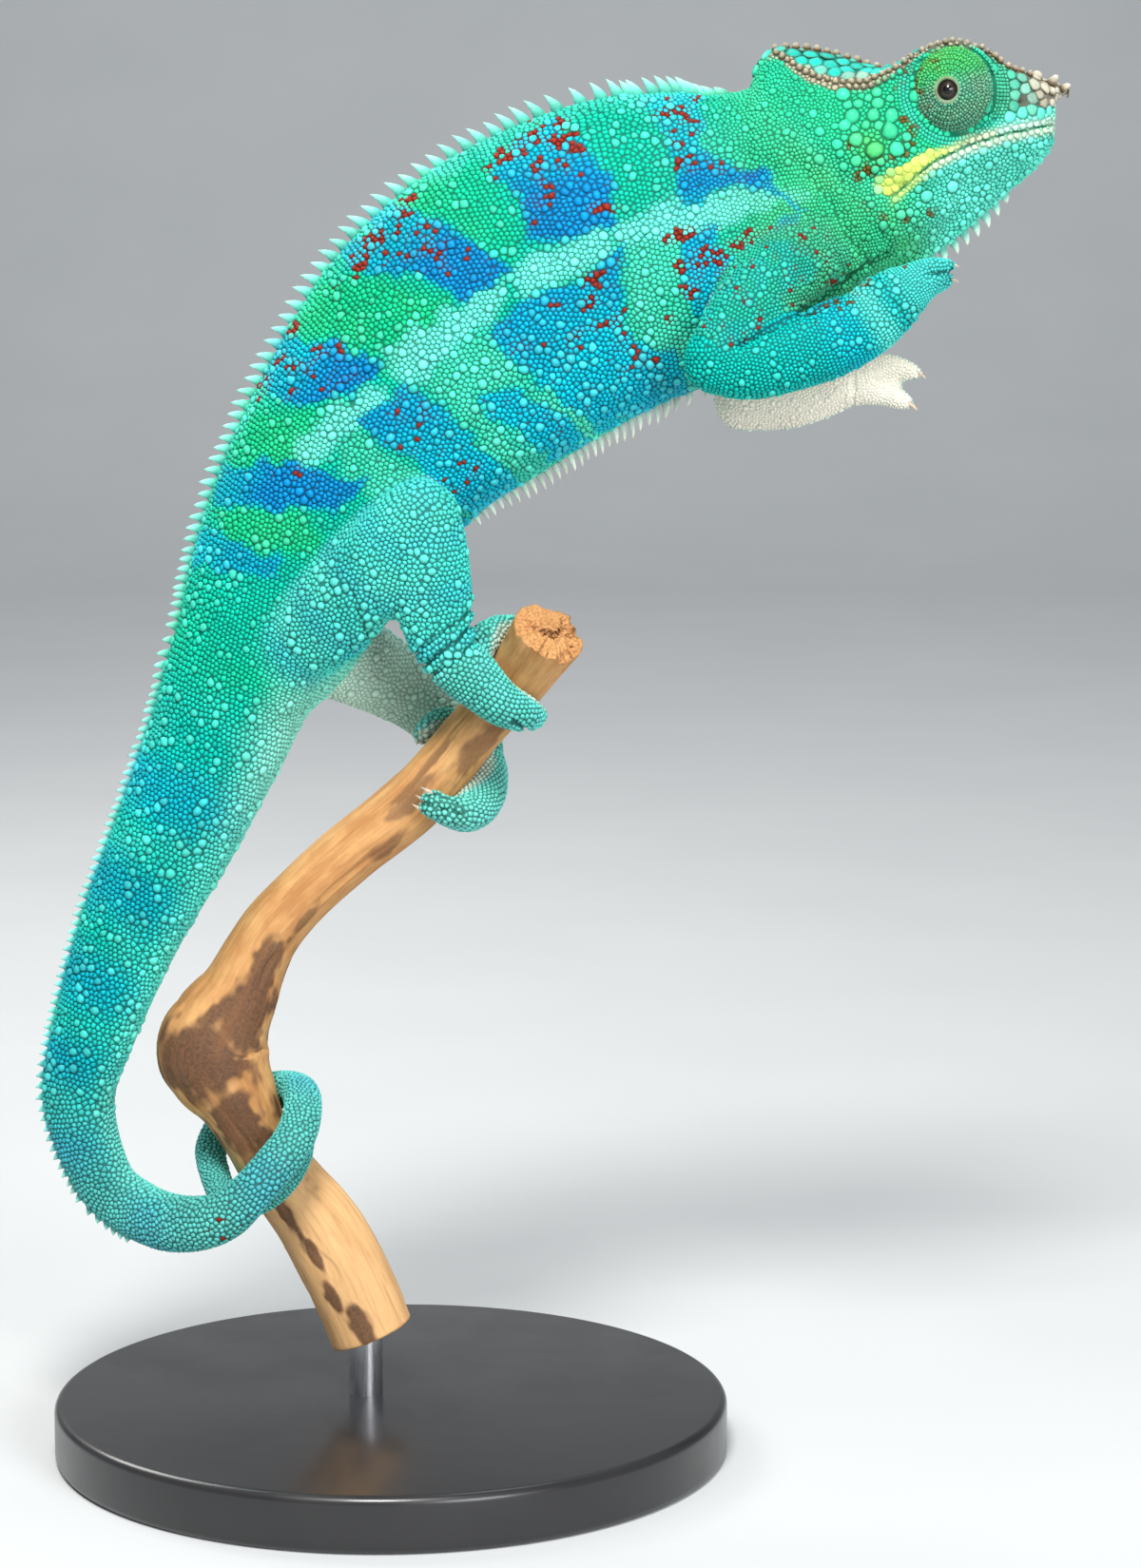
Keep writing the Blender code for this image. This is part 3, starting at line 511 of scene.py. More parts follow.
def build_skin():
    """One closed skin over the whole animal."""
    shells = [torso.shell(1.0, 72), head_shell(), Loft(SNOUT_HORN).shell(0.6, 32)]
    shells += [loft.shell(0.8, 48) for loft in limbs.values()]
    shells += [loft.shell(0.6, 40) for loft in bundles.values()]
    shells += [loft.shell(0.4, 24) for _, loft, *_ in toes]
    shells += [ball_shell(EYE * (1, sign, 1), ORBIT_RADII) for sign in (1, -1)]
    skin = shells_object("chameleon_skin", shells)
    apply_modifier(skin, "REMESH", mode="VOXEL", voxel_size=SKIN_VOXEL * MM, adaptivity=0.0)
    points = read_points(skin.data) / MM
    points = ease(skin.data, points, np.ones(len(points)), 5)
    spot = locate(points)
    points = ease(skin.data, points, near(spot["between"], 0, 3.2) * (spot["tw"] < 9), 26)
    write_points(skin.data, points * MM)
    normals = read_normals(skin.data)
    points -= normals * (COAT_DEPTH + fold_depth(points))[:, None]
    points = press_sockets(points)
    write_points(skin.data, points * MM)
    skin.data.shade_smooth()
    return skin


def ease(mesh, points, share, times):
    """Smooths the mesh where share is above 0, keeping the fullness of the rest."""
    ends = np.empty(len(mesh.edges) * 2, np.int32)
    mesh.edges.foreach_get("vertices", ends)
    one, two = ends.reshape(-1, 2).T
    count = len(points)
    links = np.bincount(ends, minlength=count)
    for _ in range(times):
        for k in range(3):
            total = np.bincount(one, points[two, k], count) + np.bincount(two, points[one, k], count)
            points[:, k] += 0.5 * share * (total / links - points[:, k])
    return points


def from_turret(points, sign):
    """Points relative to the turret on one side, in shares of its size, and how far out they are."""
    rel = (points - EYE * (1, sign, 1)) / TURRET_RADII
    return rel, np.linalg.norm(rel, axis=1)


def out_of_turrets(points):
    """How far out points lie from the nearer turret, 1 on its skin."""
    return np.minimum(from_turret(points, 1)[1], from_turret(points, -1)[1])


FOLD_RINGS = (1.075, 1.165, 1.255, 1.345)  # folds round each socket, in shares of the turret's size


def press_sockets(points):
    """Presses the skin in behind each eye turret, so that the turret sits in a round socket."""
    for sign in (1, -1):
        rel, out = from_turret(points, sign)
        rim = 0.42 * np.cos((out - FOLD_RINGS[1]) * TAU / 0.09) * near(out, 1.2, 0.17)
        points += rel / np.maximum(out, 0.1)[:, None] * rim[:, None]
        near_it = out < 1.06
        pressed = rel[near_it] / out[near_it, None] * np.minimum(out[near_it, None], 0.9)
        points[near_it] = EYE * (1, sign, 1) + pressed * TURRET_RADII
    return points


def mouth_offset(points):
    """Height over the mouth line, and 1 where the mouth runs."""
    height = points[:, 2] - np.interp(points[:, 0], MOUTH[:, 0], MOUTH[:, 1])
    return height, ramp(points[:, 0], MOUTH[0, 0] - 1.5, MOUTH[0, 0] + 0.5)


def fold_depth(points):
    """How deep the creases of the skin lie: mouth, elbow, ankles, knees, neck and throat."""
    depth = np.zeros(len(points))
    height, runs = mouth_offset(points)
    depth += 0.7 * runs * near(height, 0, 0.8) * (np.abs(points[:, 1]) > 1.5)
    pit = np.hypot((points[:, 0] - NOSTRIL[0]) / 0.8, points[:, 2] - NOSTRIL[1])
    depth += 0.8 * (1 - ramp(pit, 0.2, 1.0)) * (np.abs(points[:, 1]) > 2)
    for side, line, width, deep in CREASES:
        depth += deep * near(crease_gap(points, line), 0, width) * ramp(points[:, 1] * side, 3, 6)
    for centre, ahead, pitch, count, reach, deep in FOLDS:
        rel = points - centre
        along = rel @ unit(np.array(ahead, float))
        wave = 0.5 + 0.5 * np.cos(TAU * (along + (noise(points, 5, 3) - 0.5) * 1.2) / pitch)
        close = 1 - ramp(np.linalg.norm(rel, axis=1), reach * 0.7, reach)
        depth += deep * wave**2 * near(along, 0, pitch * (count / 2 + 0.5)) * close
    return depth


# Single creases: side of the body, line of x and z, half width and depth.
ARM_CREASE = [(60.1, 197.3), (67.4, 201.3), (74.4, 203.9), (78.0, 206.6), (82.2, 209.8), (86.3, 211.8)]
CREASES = [
    (-1, ARM_CREASE, 0.9, 1.2), (-1, [(91.6, 208.7), (94.5, 209.1), (98.5, 209.3)], 0.7, 1.0),
    (-1, [(13.0, 118.9), (9.9, 119.7), (5.5, 120.6)], 0.65, 1.0),
    (-1, [(13.5, 116.5), (10.6, 117.2), (5.5, 118.4)], 0.65, 1.0),
    (-1, [(26.0, 128.2), (24.3, 130.4), (22.4, 132.6)], 0.8, 1.4),
]


def crease_gap(points, line):
    """Distance from a line of (x, z) seen from the side."""
    flat, gap = points[:, [0, 2]], np.full(len(points), 99.0)
    for a, b in zip(np.array(line[:-1]), np.array(line[1:])):
        share = np.clip((flat - a) @ (b - a) / ((b - a) @ (b - a)), 0, 1)
        gap = np.minimum(gap, np.linalg.norm(flat - a - share[:, None] * (b - a), axis=1))
    return gap


# Folds: centre, direction across the creases, pitch, number of creases, reach and depth.
FOLDS = [
    ((12.2, -15.5, 146.6), (0.62, 0, -0.78), 2.5, 4, 11.0, 1.3),
    ((10.5, 15.5, 128.5), (0.85, -0.4, -0.3), 2.4, 3, 8.0, 0.6),
    ((86.5, -20.0, 204.5), (0.78, 0, 0.62), 1.9, 4, 8.0, 0.35),
    ((81.5, 13.0, 189.0), (1.0, 0, 0.1), 1.9, 3, 6.5, 0.35),
    ((-3.0, -16.5, 149.0), (0.95, 0, 0.3), 3.2, 3, 9.0, 0.7),
    ((76.0, -10.0, 220.0), (0.8, 0, 0.6), 4.2, 4, 16.0, 0.5),
    ((76.0, 10.0, 220.0), (0.8, 0, 0.6), 4.2, 4, 16.0, 0.5),
]


# ---- places on the animal ----

PART = {name: k for k, name in enumerate(("torso", "head", *limbs, *bundles))}


def locate(points, known=None):
    """Where points lie: body part, length along it, height and width shares, and shares of head and limb."""
    points = np.asarray(points, float)
    ts, tv, tw, out = torso.place(points)
    from_trunk = torso.gap(ts, out)
    from_limb, limb_part = np.full(len(points), 99.0), np.full(len(points), PART["thigh_right"])
    ls, lv, lw = np.zeros((3, len(points)))
    for name, loft in (limbs | bundles).items():
        low, high = loft.rows[:, :3].min(0) - 13, loft.rows[:, :3].max(0) + 13
        here = np.flatnonzero(((points > low) & (points < high)).all(1))
        if len(here):
            s, v, w, out = loft.place(points[here])
            gap = loft.gap(s, out)
            nearer = gap < from_limb[here]
            chosen = here[nearer]
            from_limb[chosen], limb_part[chosen] = gap[nearer], PART[name]
            ls[chosen], lv[chosen], lw[chosen] = s[nearer], v[nearer], w[nearer]
    on_limb = from_limb < from_trunk
    spot = {"ts": ts, "tv": tv, "tw": tw, "ls": ls, "lv": lv, "lw": lw, "limb_part": limb_part,
            "limb": ramp(from_trunk - from_limb, -1.6, 1.6), "between": from_trunk - from_limb}
    ahead = (points - NECK_PLANE) @ NECK_NORMAL
    spot["head"] = ramp(ahead, -2.5, 2.5) * (points[:, 0] > 61) * (1 - spot["limb"])
    spot["part"] = np.where(on_limb, limb_part, np.where(spot["head"] > 0.5, PART["head"], PART["torso"]))
    for key, own, trunk in (("s", ls, ts), ("v", lv, tv), ("w", lw, tw)):
        spot[key] = np.where(on_limb, own, trunk)
    if known is not None:
        fixed = known["part"] >= 0
        for key in ("part", "s", "v", "w"):
            spot[key][fixed] = known[key][fixed]
    return spot


# ---- markings ----

TONE_ATTRIBUTES = ["tone_a", "tone_b", "tone_c", "tone_d"]
# edge runs from 1 at the foot of a scale to 0 at its top; the shader darkens by it, as painted shade between
# the scales.
MASKS = ["green", "cyan", "pale", "blue", "red", "yellow", "cream", "tan", "dusk", "jitter", "edge", "lime",
         "rust", "own", "crack", "gap"]
FLANK = 24.0  # half height that turns shares of the flank into mm

# Outlines of markings on the flank: length from the neck in mm, height from -1 belly to 1 back.
BACK_BARS = [
    [(48, 0.97), (38, 0.95), (38, 0.7), (38.5, 0.52), (33.5, 0.45), (28.5, 0.33), (25.5, 0.12), (23, -0.1),
     (26.5, 0.06), (31, 0.24), (37, 0.33), (40, 0.17), (43.5, 0.2), (42, 0.5), (44, 0.75)],
    [(56, 0.92), (66, 0.86), (66.3, 0.7), (64, 0.58), (67, 0.32), (60, 0.22), (53.2, 0.2), (53.5, 0.5)],
    [(79, 0.97), (77.5, 0.8), (74.3, 0.52), (70.5, 0.2), (79, 0.17), (82.8, 0.57), (87.5, 0.75),
     (88, 0.95)],
    [(101, 0.97), (97.3, 0.63), (95.5, 0.27), (101, 0.28), (106.5, 0.45), (110, 0.75), (109, 0.98)],
    [(123, 0.93), (118, 0.55), (115.5, 0.24), (112.5, -0.17), (120, -0.05), (124, 0.3), (129, 0.9)],
    [(133, 0.95), (131.5, 0.14), (135, 0.1), (138.5, 0.95)],
]
BELLY_BARS = [
    [(43.5, 0.06), (38, 0.07), (39.5, -0.11), (37, -0.22), (24.5, -0.07), (27.5, -0.22), (38, -0.42),
     (42, -0.66), (45.5, -0.5), (45, -0.2)],
    [(79, -0.01), (69, -0.04), (61.5, -0.06), (53.5, 0.04), (58, -0.3), (58, -0.57), (50, -0.7), (49, -1),
     (66, -1), (72, -0.92), (75.8, -0.56), (79.5, -0.2)],
    [(87, -0.33), (82, -0.38), (78.3, -0.61), (75, -0.97), (83.5, -0.97), (85.3, -0.68), (87.3, -0.46)],
    [(105, 0.18), (100, 0.11), (94, 0.04), (93.5, -0.4), (91.5, -1), (104, -1), (105, -0.6), (103.6, -0.4),
     (105.6, -0.06)],
    [(109, -0.65), (104.5, -1), (114, -1), (111, -0.8)],
]
# Clusters of red-brown flecks: length, height, and their reaches in mm.
FLECK_CLUSTERS = [
    (30.6, -0.12, 2.4, 1.5), (35.1, -0.12, 3.6, 1.8), (41.1, -0.16, 4, 1.6), (39.1, -0.29, 1.6, 1.6),
    (42.6, 0.03, 3.8, 1.1), (45.6, -0.16, 1.3, 1.6), (45.6, -0.34, 1.3, 1.2), (40.6, 0.49, 2.2, 1.2),
    (43.1, 0.82, 2, 1.3), (49.1, -0.47, 1.3, 1.4), (55.1, 0.31, 2.8, 1), (56.6, 0.8, 2.2, 1.2),
    (62.1, 0.87, 5.5, 1.8), (65.7, 0.82, 2.4, 0.9), (59.1, -0.38, 1.8, 1.2), (60.1, -0.08, 1.8, 1.2),
    (61.6, -0.2, 2, 1), (67.2, -0.34, 1.2, 1.3), (84.2, 0.85, 5.5, 1.8), (78.7, 0.91, 1.8, 1.2),
    (98.7, 0.93, 1.2, 1.4), (108.3, 0.91, 2, 1),
]
GREEN_FIELDS = [
    [(54, 0.9), (44, 0.85), (42, 0.3), (53, 0.25)],
    [(74, 1), (67, 0.82), (66, 0.5), (70, 0.24), (76, 0.7), (79, 0.95)],
    [(92, 0.97), (86.5, 0.65), (80.3, 0.2), (95.5, 0.2), (97.5, 0.66), (100, 0.95)],
    [(113, 0.97), (107.5, 0.5), (103, 0.25), (116, 0.3), (122, 0.9)],
    [(129, 0.9), (122.5, 0.1), (128, -0.2), (134, 0.7)],
]
STRIPE = [
    [(54.5, 0.2), (41.5, 0.28), (28.8, 0.25), (21, 0.02), (30.5, 0.02), (43.3, 0.04), (54, 0)],
    [(70.5, 0.23), (55.5, 0.2), (55, 0.02), (71, -0.02)],
    [(94, 0.32), (79, 0.17), (72, 0.16), (78, 0.02), (88, 0), (95, 0.04), (95, 0.2)],
    [(113, 0.52), (103, 0.28), (98, 0.2), (100.3, 0.1), (107, 0.14), (113, 0.25), (118, 0.4)],
]
MINT_FIELDS = [
    [(53.3, 0.01), (44, 0.05), (46.5, -0.39), (46.5, -0.75), (57, -0.58), (57, -0.33)],
    [(92.5, 0.02), (80, -0.02), (80, -0.2), (77, -0.58), (72.5, -0.92), (76, -0.95), (79, -0.6),
     (82.5, -0.36), (87.5, -0.3), (89, -0.9), (92.5, -0.8), (92.8, -0.25)],
    [(113, 0.1), (106.5, 0.16), (106.6, -0.21), (104.6, -0.52), (107.6, -0.7), (116, -0.5)],
]
TAIL_BANDS = [(178, 7), (197, 6.5), (214, 6), (229, 5.5), (244, 5.5), (266, 8), (290, 7), (312, 6), (335, 6)]


def inside(s, v, corners, soft=0.7):
    """Softly 1 inside a marking with these corners."""
    points = np.stack([s, v * FLANK], axis=1)
    loop = np.array(corners, float) * (1, FLANK)
    nearest, within = np.full(len(s), 1e9), np.zeros(len(s), bool)
    for a, b in zip(loop, np.roll(loop, -1, axis=0)):
        edge, rel = b - a, points - a
        t = np.clip(rel @ edge / (edge @ edge), 0, 1)
        nearest = np.minimum(nearest, ((rel - t[:, None] * edge)**2).sum(1))
        crosses = (a[1] > points[:, 1]) != (b[1] > points[:, 1])
        rise = np.where(abs(edge[1]) < 1e-9, 1e-9, edge[1])
        within ^= crosses & (points[:, 0] < a[0] + edge[0] * (points[:, 1] - a[1]) / rise)
    distance = np.sqrt(nearest) * np.where(within, 1, -1)
    return ramp(distance, -soft, soft)


def any_of(s, v, outlines, soft=0.7):
    found = np.zeros(len(s))
    for corners in outlines:
        found = np.maximum(found, inside(s, v, corners, soft))
    return found


# Warm flecks on the head: x, z and reach in mm.
HEAD_FLECKS = [
    (80.6, 225.3, 1.1), (82.4, 226.3, 1.2), (84.2, 227.6, 0.9), (85.4, 231, 0.7), (86.6, 228.4, 0.9),
    (88.2, 229.3, 1.1), (89.3, 231.2, 1.1), (89.8, 233.2, 0.9), (88.3, 234.6, 0.8), (88.6, 243, 0.9),
    (87.6, 240, 1), (81.2, 219.6, 1.6), (82.8, 217.1, 1.5), (84.9, 218.2, 0.9), (88.9, 218.1, 0.7),
    (91.5, 217.2, 0.7), (93.4, 219.2, 0.9), (82, 211, 1.6), (85.2, 211.6, 1.4), (79.6, 230.3, 1.2),
]
YELLOW_LIP = [
    (83.2, 223.6), (86.3, 221.6), (88.3, 223.4), (90.2, 225.2), (93.5, 227.9), (99.4, 230.7), (104.2, 232),
    (104.1, 232.9), (99.4, 231.9), (96.2, 230.3), (91.4, 229.1), (88.2, 226.9), (84.7, 225.3),
]


LIP_OUTLINE = [[(x, z / FLANK) for x, z in YELLOW_LIP]]


def head_tones(points, tones, share):
    """Adds the markings of the head, where share is above 0."""
    x, z = points[:, 0], points[:, 2]
    y = np.abs(points[:, 1])
    side = ramp(y, 2.0, 4.5)
    height, runs = mouth_offset(points)
    patchy = noise(points, 3.5, 5)
    cheek = near(x, 84, 13) * near(z, 232, 12) * side
    above = ramp(z, 232, 240)
    put(tones, share, blue=0.0, red=0.0, dusk=0.0, tan=0.0, green=0.8 + 0.3 * (patchy - 0.5))
    put(tones, share * ramp(cheek, 0, 0.3) * (1 - 0.5 * above), green=0.95)
    put(tones, share, cyan=0.25 * above * near(x, 84, 10))
    throat = 0.4 * near(z, 213, 13) * near(x, 84, 15) * (0.5 + patchy)
    put(tones, share, lime=0.05 + 0.4 * near(x, 82.5, 5) * near(z, 230, 5) * side + throat,
        pale=0.06 + 0.14 * (1 - ramp(z, 222, 232)) + 0.16 * (1 - ramp(x, 70, 78)) * (1 - ramp(z, 226, 236)))
    below = ramp(-height, 0.3, 2.5) * runs * ramp(x, 89, 97)
    put(tones, share * below, pale=0.65 + 0.3 * (patchy - 0.5), green=0.25)
    muzzle = runs * (1 - ramp(height, 2.6, 3.6)) * (height > 0) * ramp(x, 101, 105)
    put(tones, share * muzzle, pale=0.7)
    lip = any_of(x, z / FLANK, LIP_OUTLINE, 0.5) * side
    edge = runs * near(height, -0.75, 1.5) * (height < 0) * ramp(x, 85, 88)
    upper = runs * near(height, 0.6, 1.7) * (height > 0) * ramp(x, 93, 101)
    put(tones, share,
        yellow=np.maximum(lip * (1 - 0.5 * ramp(x, 93, 101)), 0.8 * edge * (1 - ramp(x, 90, 98))),
        cream=np.clip(0.55 * edge * ramp(x, 89, 96) + 0.5 * upper, 0, 1))
    line = runs * near(height, 0, 0.6) * side
    put(tones, share * line, yellow=0.0, cream=0.0, pale=0.0)
    put(tones, share, rust=0.95 * line)
    rim = near(from_turret(np.stack([x, y, z], axis=1), 1)[1], 1.18, 0.2)
    put(tones, share * rim, green=0.4, pale=0.2, tan=0.42 * near(x + z, 330, 16))
    spots = np.zeros(len(x))
    for fx, fz, reach in HEAD_FLECKS:
        spots = np.maximum(spots, 1 - ramp(np.hypot(x - fx, z - fz) / reach, 0.6, 1.3))
    put(tones, share, rust=spots * ramp(noise(points, 0.9, 31), 0.25, 0.5) * side)
    crest = crest_share(points)
    crown = (1 - ramp(y - crest_half_width(x), -1.4, -0.4)) * ramp(z, 238, 240)
    put(tones, share, cyan=0.2 * crown)
    put(tones, share * crown, green=0.35, pale=0.1)
    snout = ramp(x, 101, 106) * ramp(height, 2.5, 4.0)
    horn = ramp(x + 0.5 * (z - 238), 110.5, 114.5) * ramp(z, 236.0, 237.5)
    ring = np.hypot((x - NOSTRIL[0]) / 0.8, z - NOSTRIL[1])
    put(tones, share * snout, pale=0.12, green=1.0 - ramp(x, 105, 110), dusk=0.25)
    put(tones, share * crown, dusk=0.15)
    put(tones, share, crack=np.clip(0.8 * crown + 0.6 * snout + 0.5 * crest, 0, 1))
    grey = 0.9 * crest + (0.1 + 0.5 * ramp(x, 106, 112)) * snout + 0.7 * horn + 0.5 * near(ring, 1.0, 0.9)
    put(tones, share, tan=np.clip(grey, 0, 0.95 - 0.15 * horn))
    put(tones, share * horn, cream=0.35 * horn)
    # The nostril pit is painted dark brown: painted shade of the opening.
    put(tones, share * side * (1 - ramp(ring, 0.3, 1.1)), rust=1 - ramp(ring, 0.3, 1.0))


NOSTRIL = (108.5, 237.9)


def crest_share(points):
    """1 on the raised side crests over the brows and on the crest along the middle of the crown."""
    x, y, z = points[:, 0], np.abs(points[:, 1]), points[:, 2]
    crown, crest_z, crest_y = (np.interp(x, HEAD[:, 0], HEAD[:, k]) for k in (1, 2, 3))
    reach = np.interp(x, [66, 72, 82, 90, 104], [1.3, 1.9, 2.1, 1.3, 1.2])
    side = 1 - ramp(np.hypot(y - crest_y, z - crest_z) / reach, 0.7, 1.1)
    middle = (1 - ramp(np.hypot(y, z - crown), 0.9, 1.7)) * (1 - ramp(x, 84, 86))
    return np.maximum(side, middle) * ramp(x, 65.2, 66.6)


def crest_half_width(x):
    return np.interp(x, HEAD[:, 0], HEAD[:, 3])


def put(tones, share, **values):
    """Moves masks towards the given values by share."""
    for name, value in values.items():
        tones[name] = mix(tones[name], value, share)


def markings(points, spot):
    """All the marking masks at points of the skin. Spot tells where they lie."""
    tones = trunk_tones(points, spot)
    head_tones(points, tones, spot["head"])
    legs = limb_tones(points, spot)
    for name in MASKS:
        tones[name] = mix(tones[name], legs[name], spot["limb"])
    tones["jitter"] = 0.5 + 0.5 * (noise(points, 7, 14) - 0.5)
    return tones


def blank_tones(count):
    tones = {name: np.zeros(count) for name in MASKS}
    tones["jitter"][:] = 0.5
    tones["own"][:] = 0.5
    tones["edge"][:] = 1.0
    return tones


def flecks(points, s, v, length=2.4, seed=9):
    """Short dashes along the body, gathered in clumps."""
    dashes = noise(np.stack([s / length, v * FLANK, np.zeros(len(s))], axis=1), 0.95, seed)
    clumps = noise(points, 5.5, seed + 1)
    return ramp(dashes + 0.3 * (clumps - 0.5), 0.64, 0.72)


def trunk_tones(points, spot):
    """The markings of neck, trunk and tail."""
    tones = blank_tones(len(points))
    wobble = np.stack([noise(points, 2.6, 1), noise(points, 2.6, 2)], axis=1) - 0.5
    s, v = spot["ts"] + wobble[:, 0] * 2.4, spot["tv"] + wobble[:, 1] * 2.6 / FLANK
    back, belly = any_of(s, v, BACK_BARS), any_of(s, v, BELLY_BARS)
    green, stripe = any_of(s, v, GREEN_FIELDS, 2.0), any_of(s, v, STRIPE, 1.3)
    mint = any_of(s, v, MINT_FIELDS, 1.6)
    trunk = 1 - ramp(s, 138, 152)
    fade_top = ramp(v, 0.5, 0.85)
    patchy = noise(points, 5, 6)

    put(tones, 1 - ramp(s, 125, 150), green=0.3 + 0.4 * (1 - ramp(s, 20, 45)))
    put(tones, 1 - ramp(s, 40, 60), pale=0.08 + 0.2 * (patchy - 0.5))
    put(tones, 1, lime=(0.15 + 0.25 * patchy * (1 - ramp(v, 0.0, 0.7))) * (1 - ramp(s, 24, 44)))
    put(tones, green * trunk, green=0.35 + 0.55 * ramp(s, 56, 82))
    put(tones, green * trunk * near(s, 50, 12), pale=0.0)
    put(tones, green * trunk, lime=0.12 * patchy * ramp(s, 60, 75))
    put(tones, mint * trunk, green=0.65)
    put(tones, near(s, 152, 22), green=0.3 + 0.4 * patchy)
    under = (1 - ramp(v, -0.9, -0.15)) * near(s, 156, 34)
    put(tones, under, green=0.25, pale=0.5, cream=0.2)
    put(tones, mint * trunk, pale=0.12 + 0.3 * noise(points, 4, 7))
    put(tones, trunk * (1 - ramp(v, -0.8, -0.45)) * near(s, 60, 65) * (1 - belly), pale=0.35)
    put(tones, stripe * trunk, pale=0.8 + 0.2 * (noise(points, 3, 8) - 0.5), green=0.3)
    put(tones, trunk * ramp(v, 0.86, 1.0), pale=0.3)
    put(tones, trunk * belly, cyan=0.9, green=0.0, pale=0.0,
        blue=np.clip(0.08 + 0.5 * ramp(v, -0.4, 0.05) + 0.3 * (patchy - 0.5), 0, 1))
    put(tones, trunk * back, green=0.0)
    put(tones, trunk * back * (1 - fade_top), pale=0.0)
    shoulder = 0.25 + 0.6 * near(v, 0.36, 0.22) + 0.3 * (s < 31)
    strength = np.where(s > 128, 0.4, np.where(s < 50, shoulder, 0.95))
    put(tones, trunk * back, cyan=0.6, blue=strength * (1 - 0.75 * fade_top))

    rows = 0.5 + 0.5 * np.cos(TAU * v * FLANK / 2.7 + 2.0 * noise(points, 7, 13))
    dashes = flecks(points, s, v)
    low = dashes * belly * ramp(v, -1.0, -0.7) * (0.2 + 0.6 * rows)
    high = flecks(points, s, v, 1.8, 19) * back * ramp(v, 0.1, 0.6)
    drift = noise(np.stack([s / 2.2, v * FLANK, np.zeros(len(s))], axis=1), 0.9, 29) - 0.5
    strong = np.full(len(s), -1.0)
    for at, height, length, half in FLECK_CLUSTERS:
        out = np.hypot((spot["ts"] - at) / length, (spot["tv"] - height) * FLANK / half)
        strong = np.maximum(strong, 1 - out)
    strong = ramp(strong + 1.7 * drift, 0.06, 0.2)
    tones["red"] = np.clip(np.maximum(np.maximum(low, high) * 0.9, strong), 0, 1) * trunk * (s < 120)

    tail = ramp(s, 150, 172)
    bands = np.zeros(len(s))
    for middle, half in TAIL_BANDS:
        bands = np.maximum(bands, near(s, middle, half * 1.3))
    dorsal = ramp(v, -0.9, 0.2)
    put(tones, tail, green=0.45 * (1 - bands) * (1 - ramp(s, 205, 250)), cyan=0.25 + 0.5 * bands * dorsal)
    put(tones, tail * (1 - 0.6 * ramp(s, 232, 300)),
        dusk=(0.1 + 0.27 * bands) * dorsal + 0.15 * (patchy - 0.3))
    put(tones, tail, pale=0.6 * (1 - ramp(v, -1.0, -0.3)) + 0.25 * (1 - bands) * (patchy - 0.2))
    put(tones, tail * ramp(s, 225, 265), tan=0.3 * (1 - ramp(v, -0.9, -0.5)))
    put(tones, tail * ramp(s, 240, 275) * (1 - bands * 0.6), pale=0.38 + 0.2 * (patchy - 0.5))
    put(tones, tail * ramp(s, 225, 255), tan=0.14, dusk=0.22)
    spots = ramp(noise(points, 1.1, 12), 0.76, 0.8) * near(s, 283, 22) * ramp(v, -0.2, 0.3)
    tones["red"] = np.maximum(tones["red"], spots * tail)
    return tones


INNER_CREAM = {"forearm": 0.92, "upper_arm": 0.92, "forefoot": 0.82, "thigh": 0.55, "shank": 0.55,
               "hindfoot": 0.45}


def by_limb(table, name):
    """The table's value for a part of a limb, by how the part's name begins."""
    return next(value for start, value in table.items() if name.startswith(start))


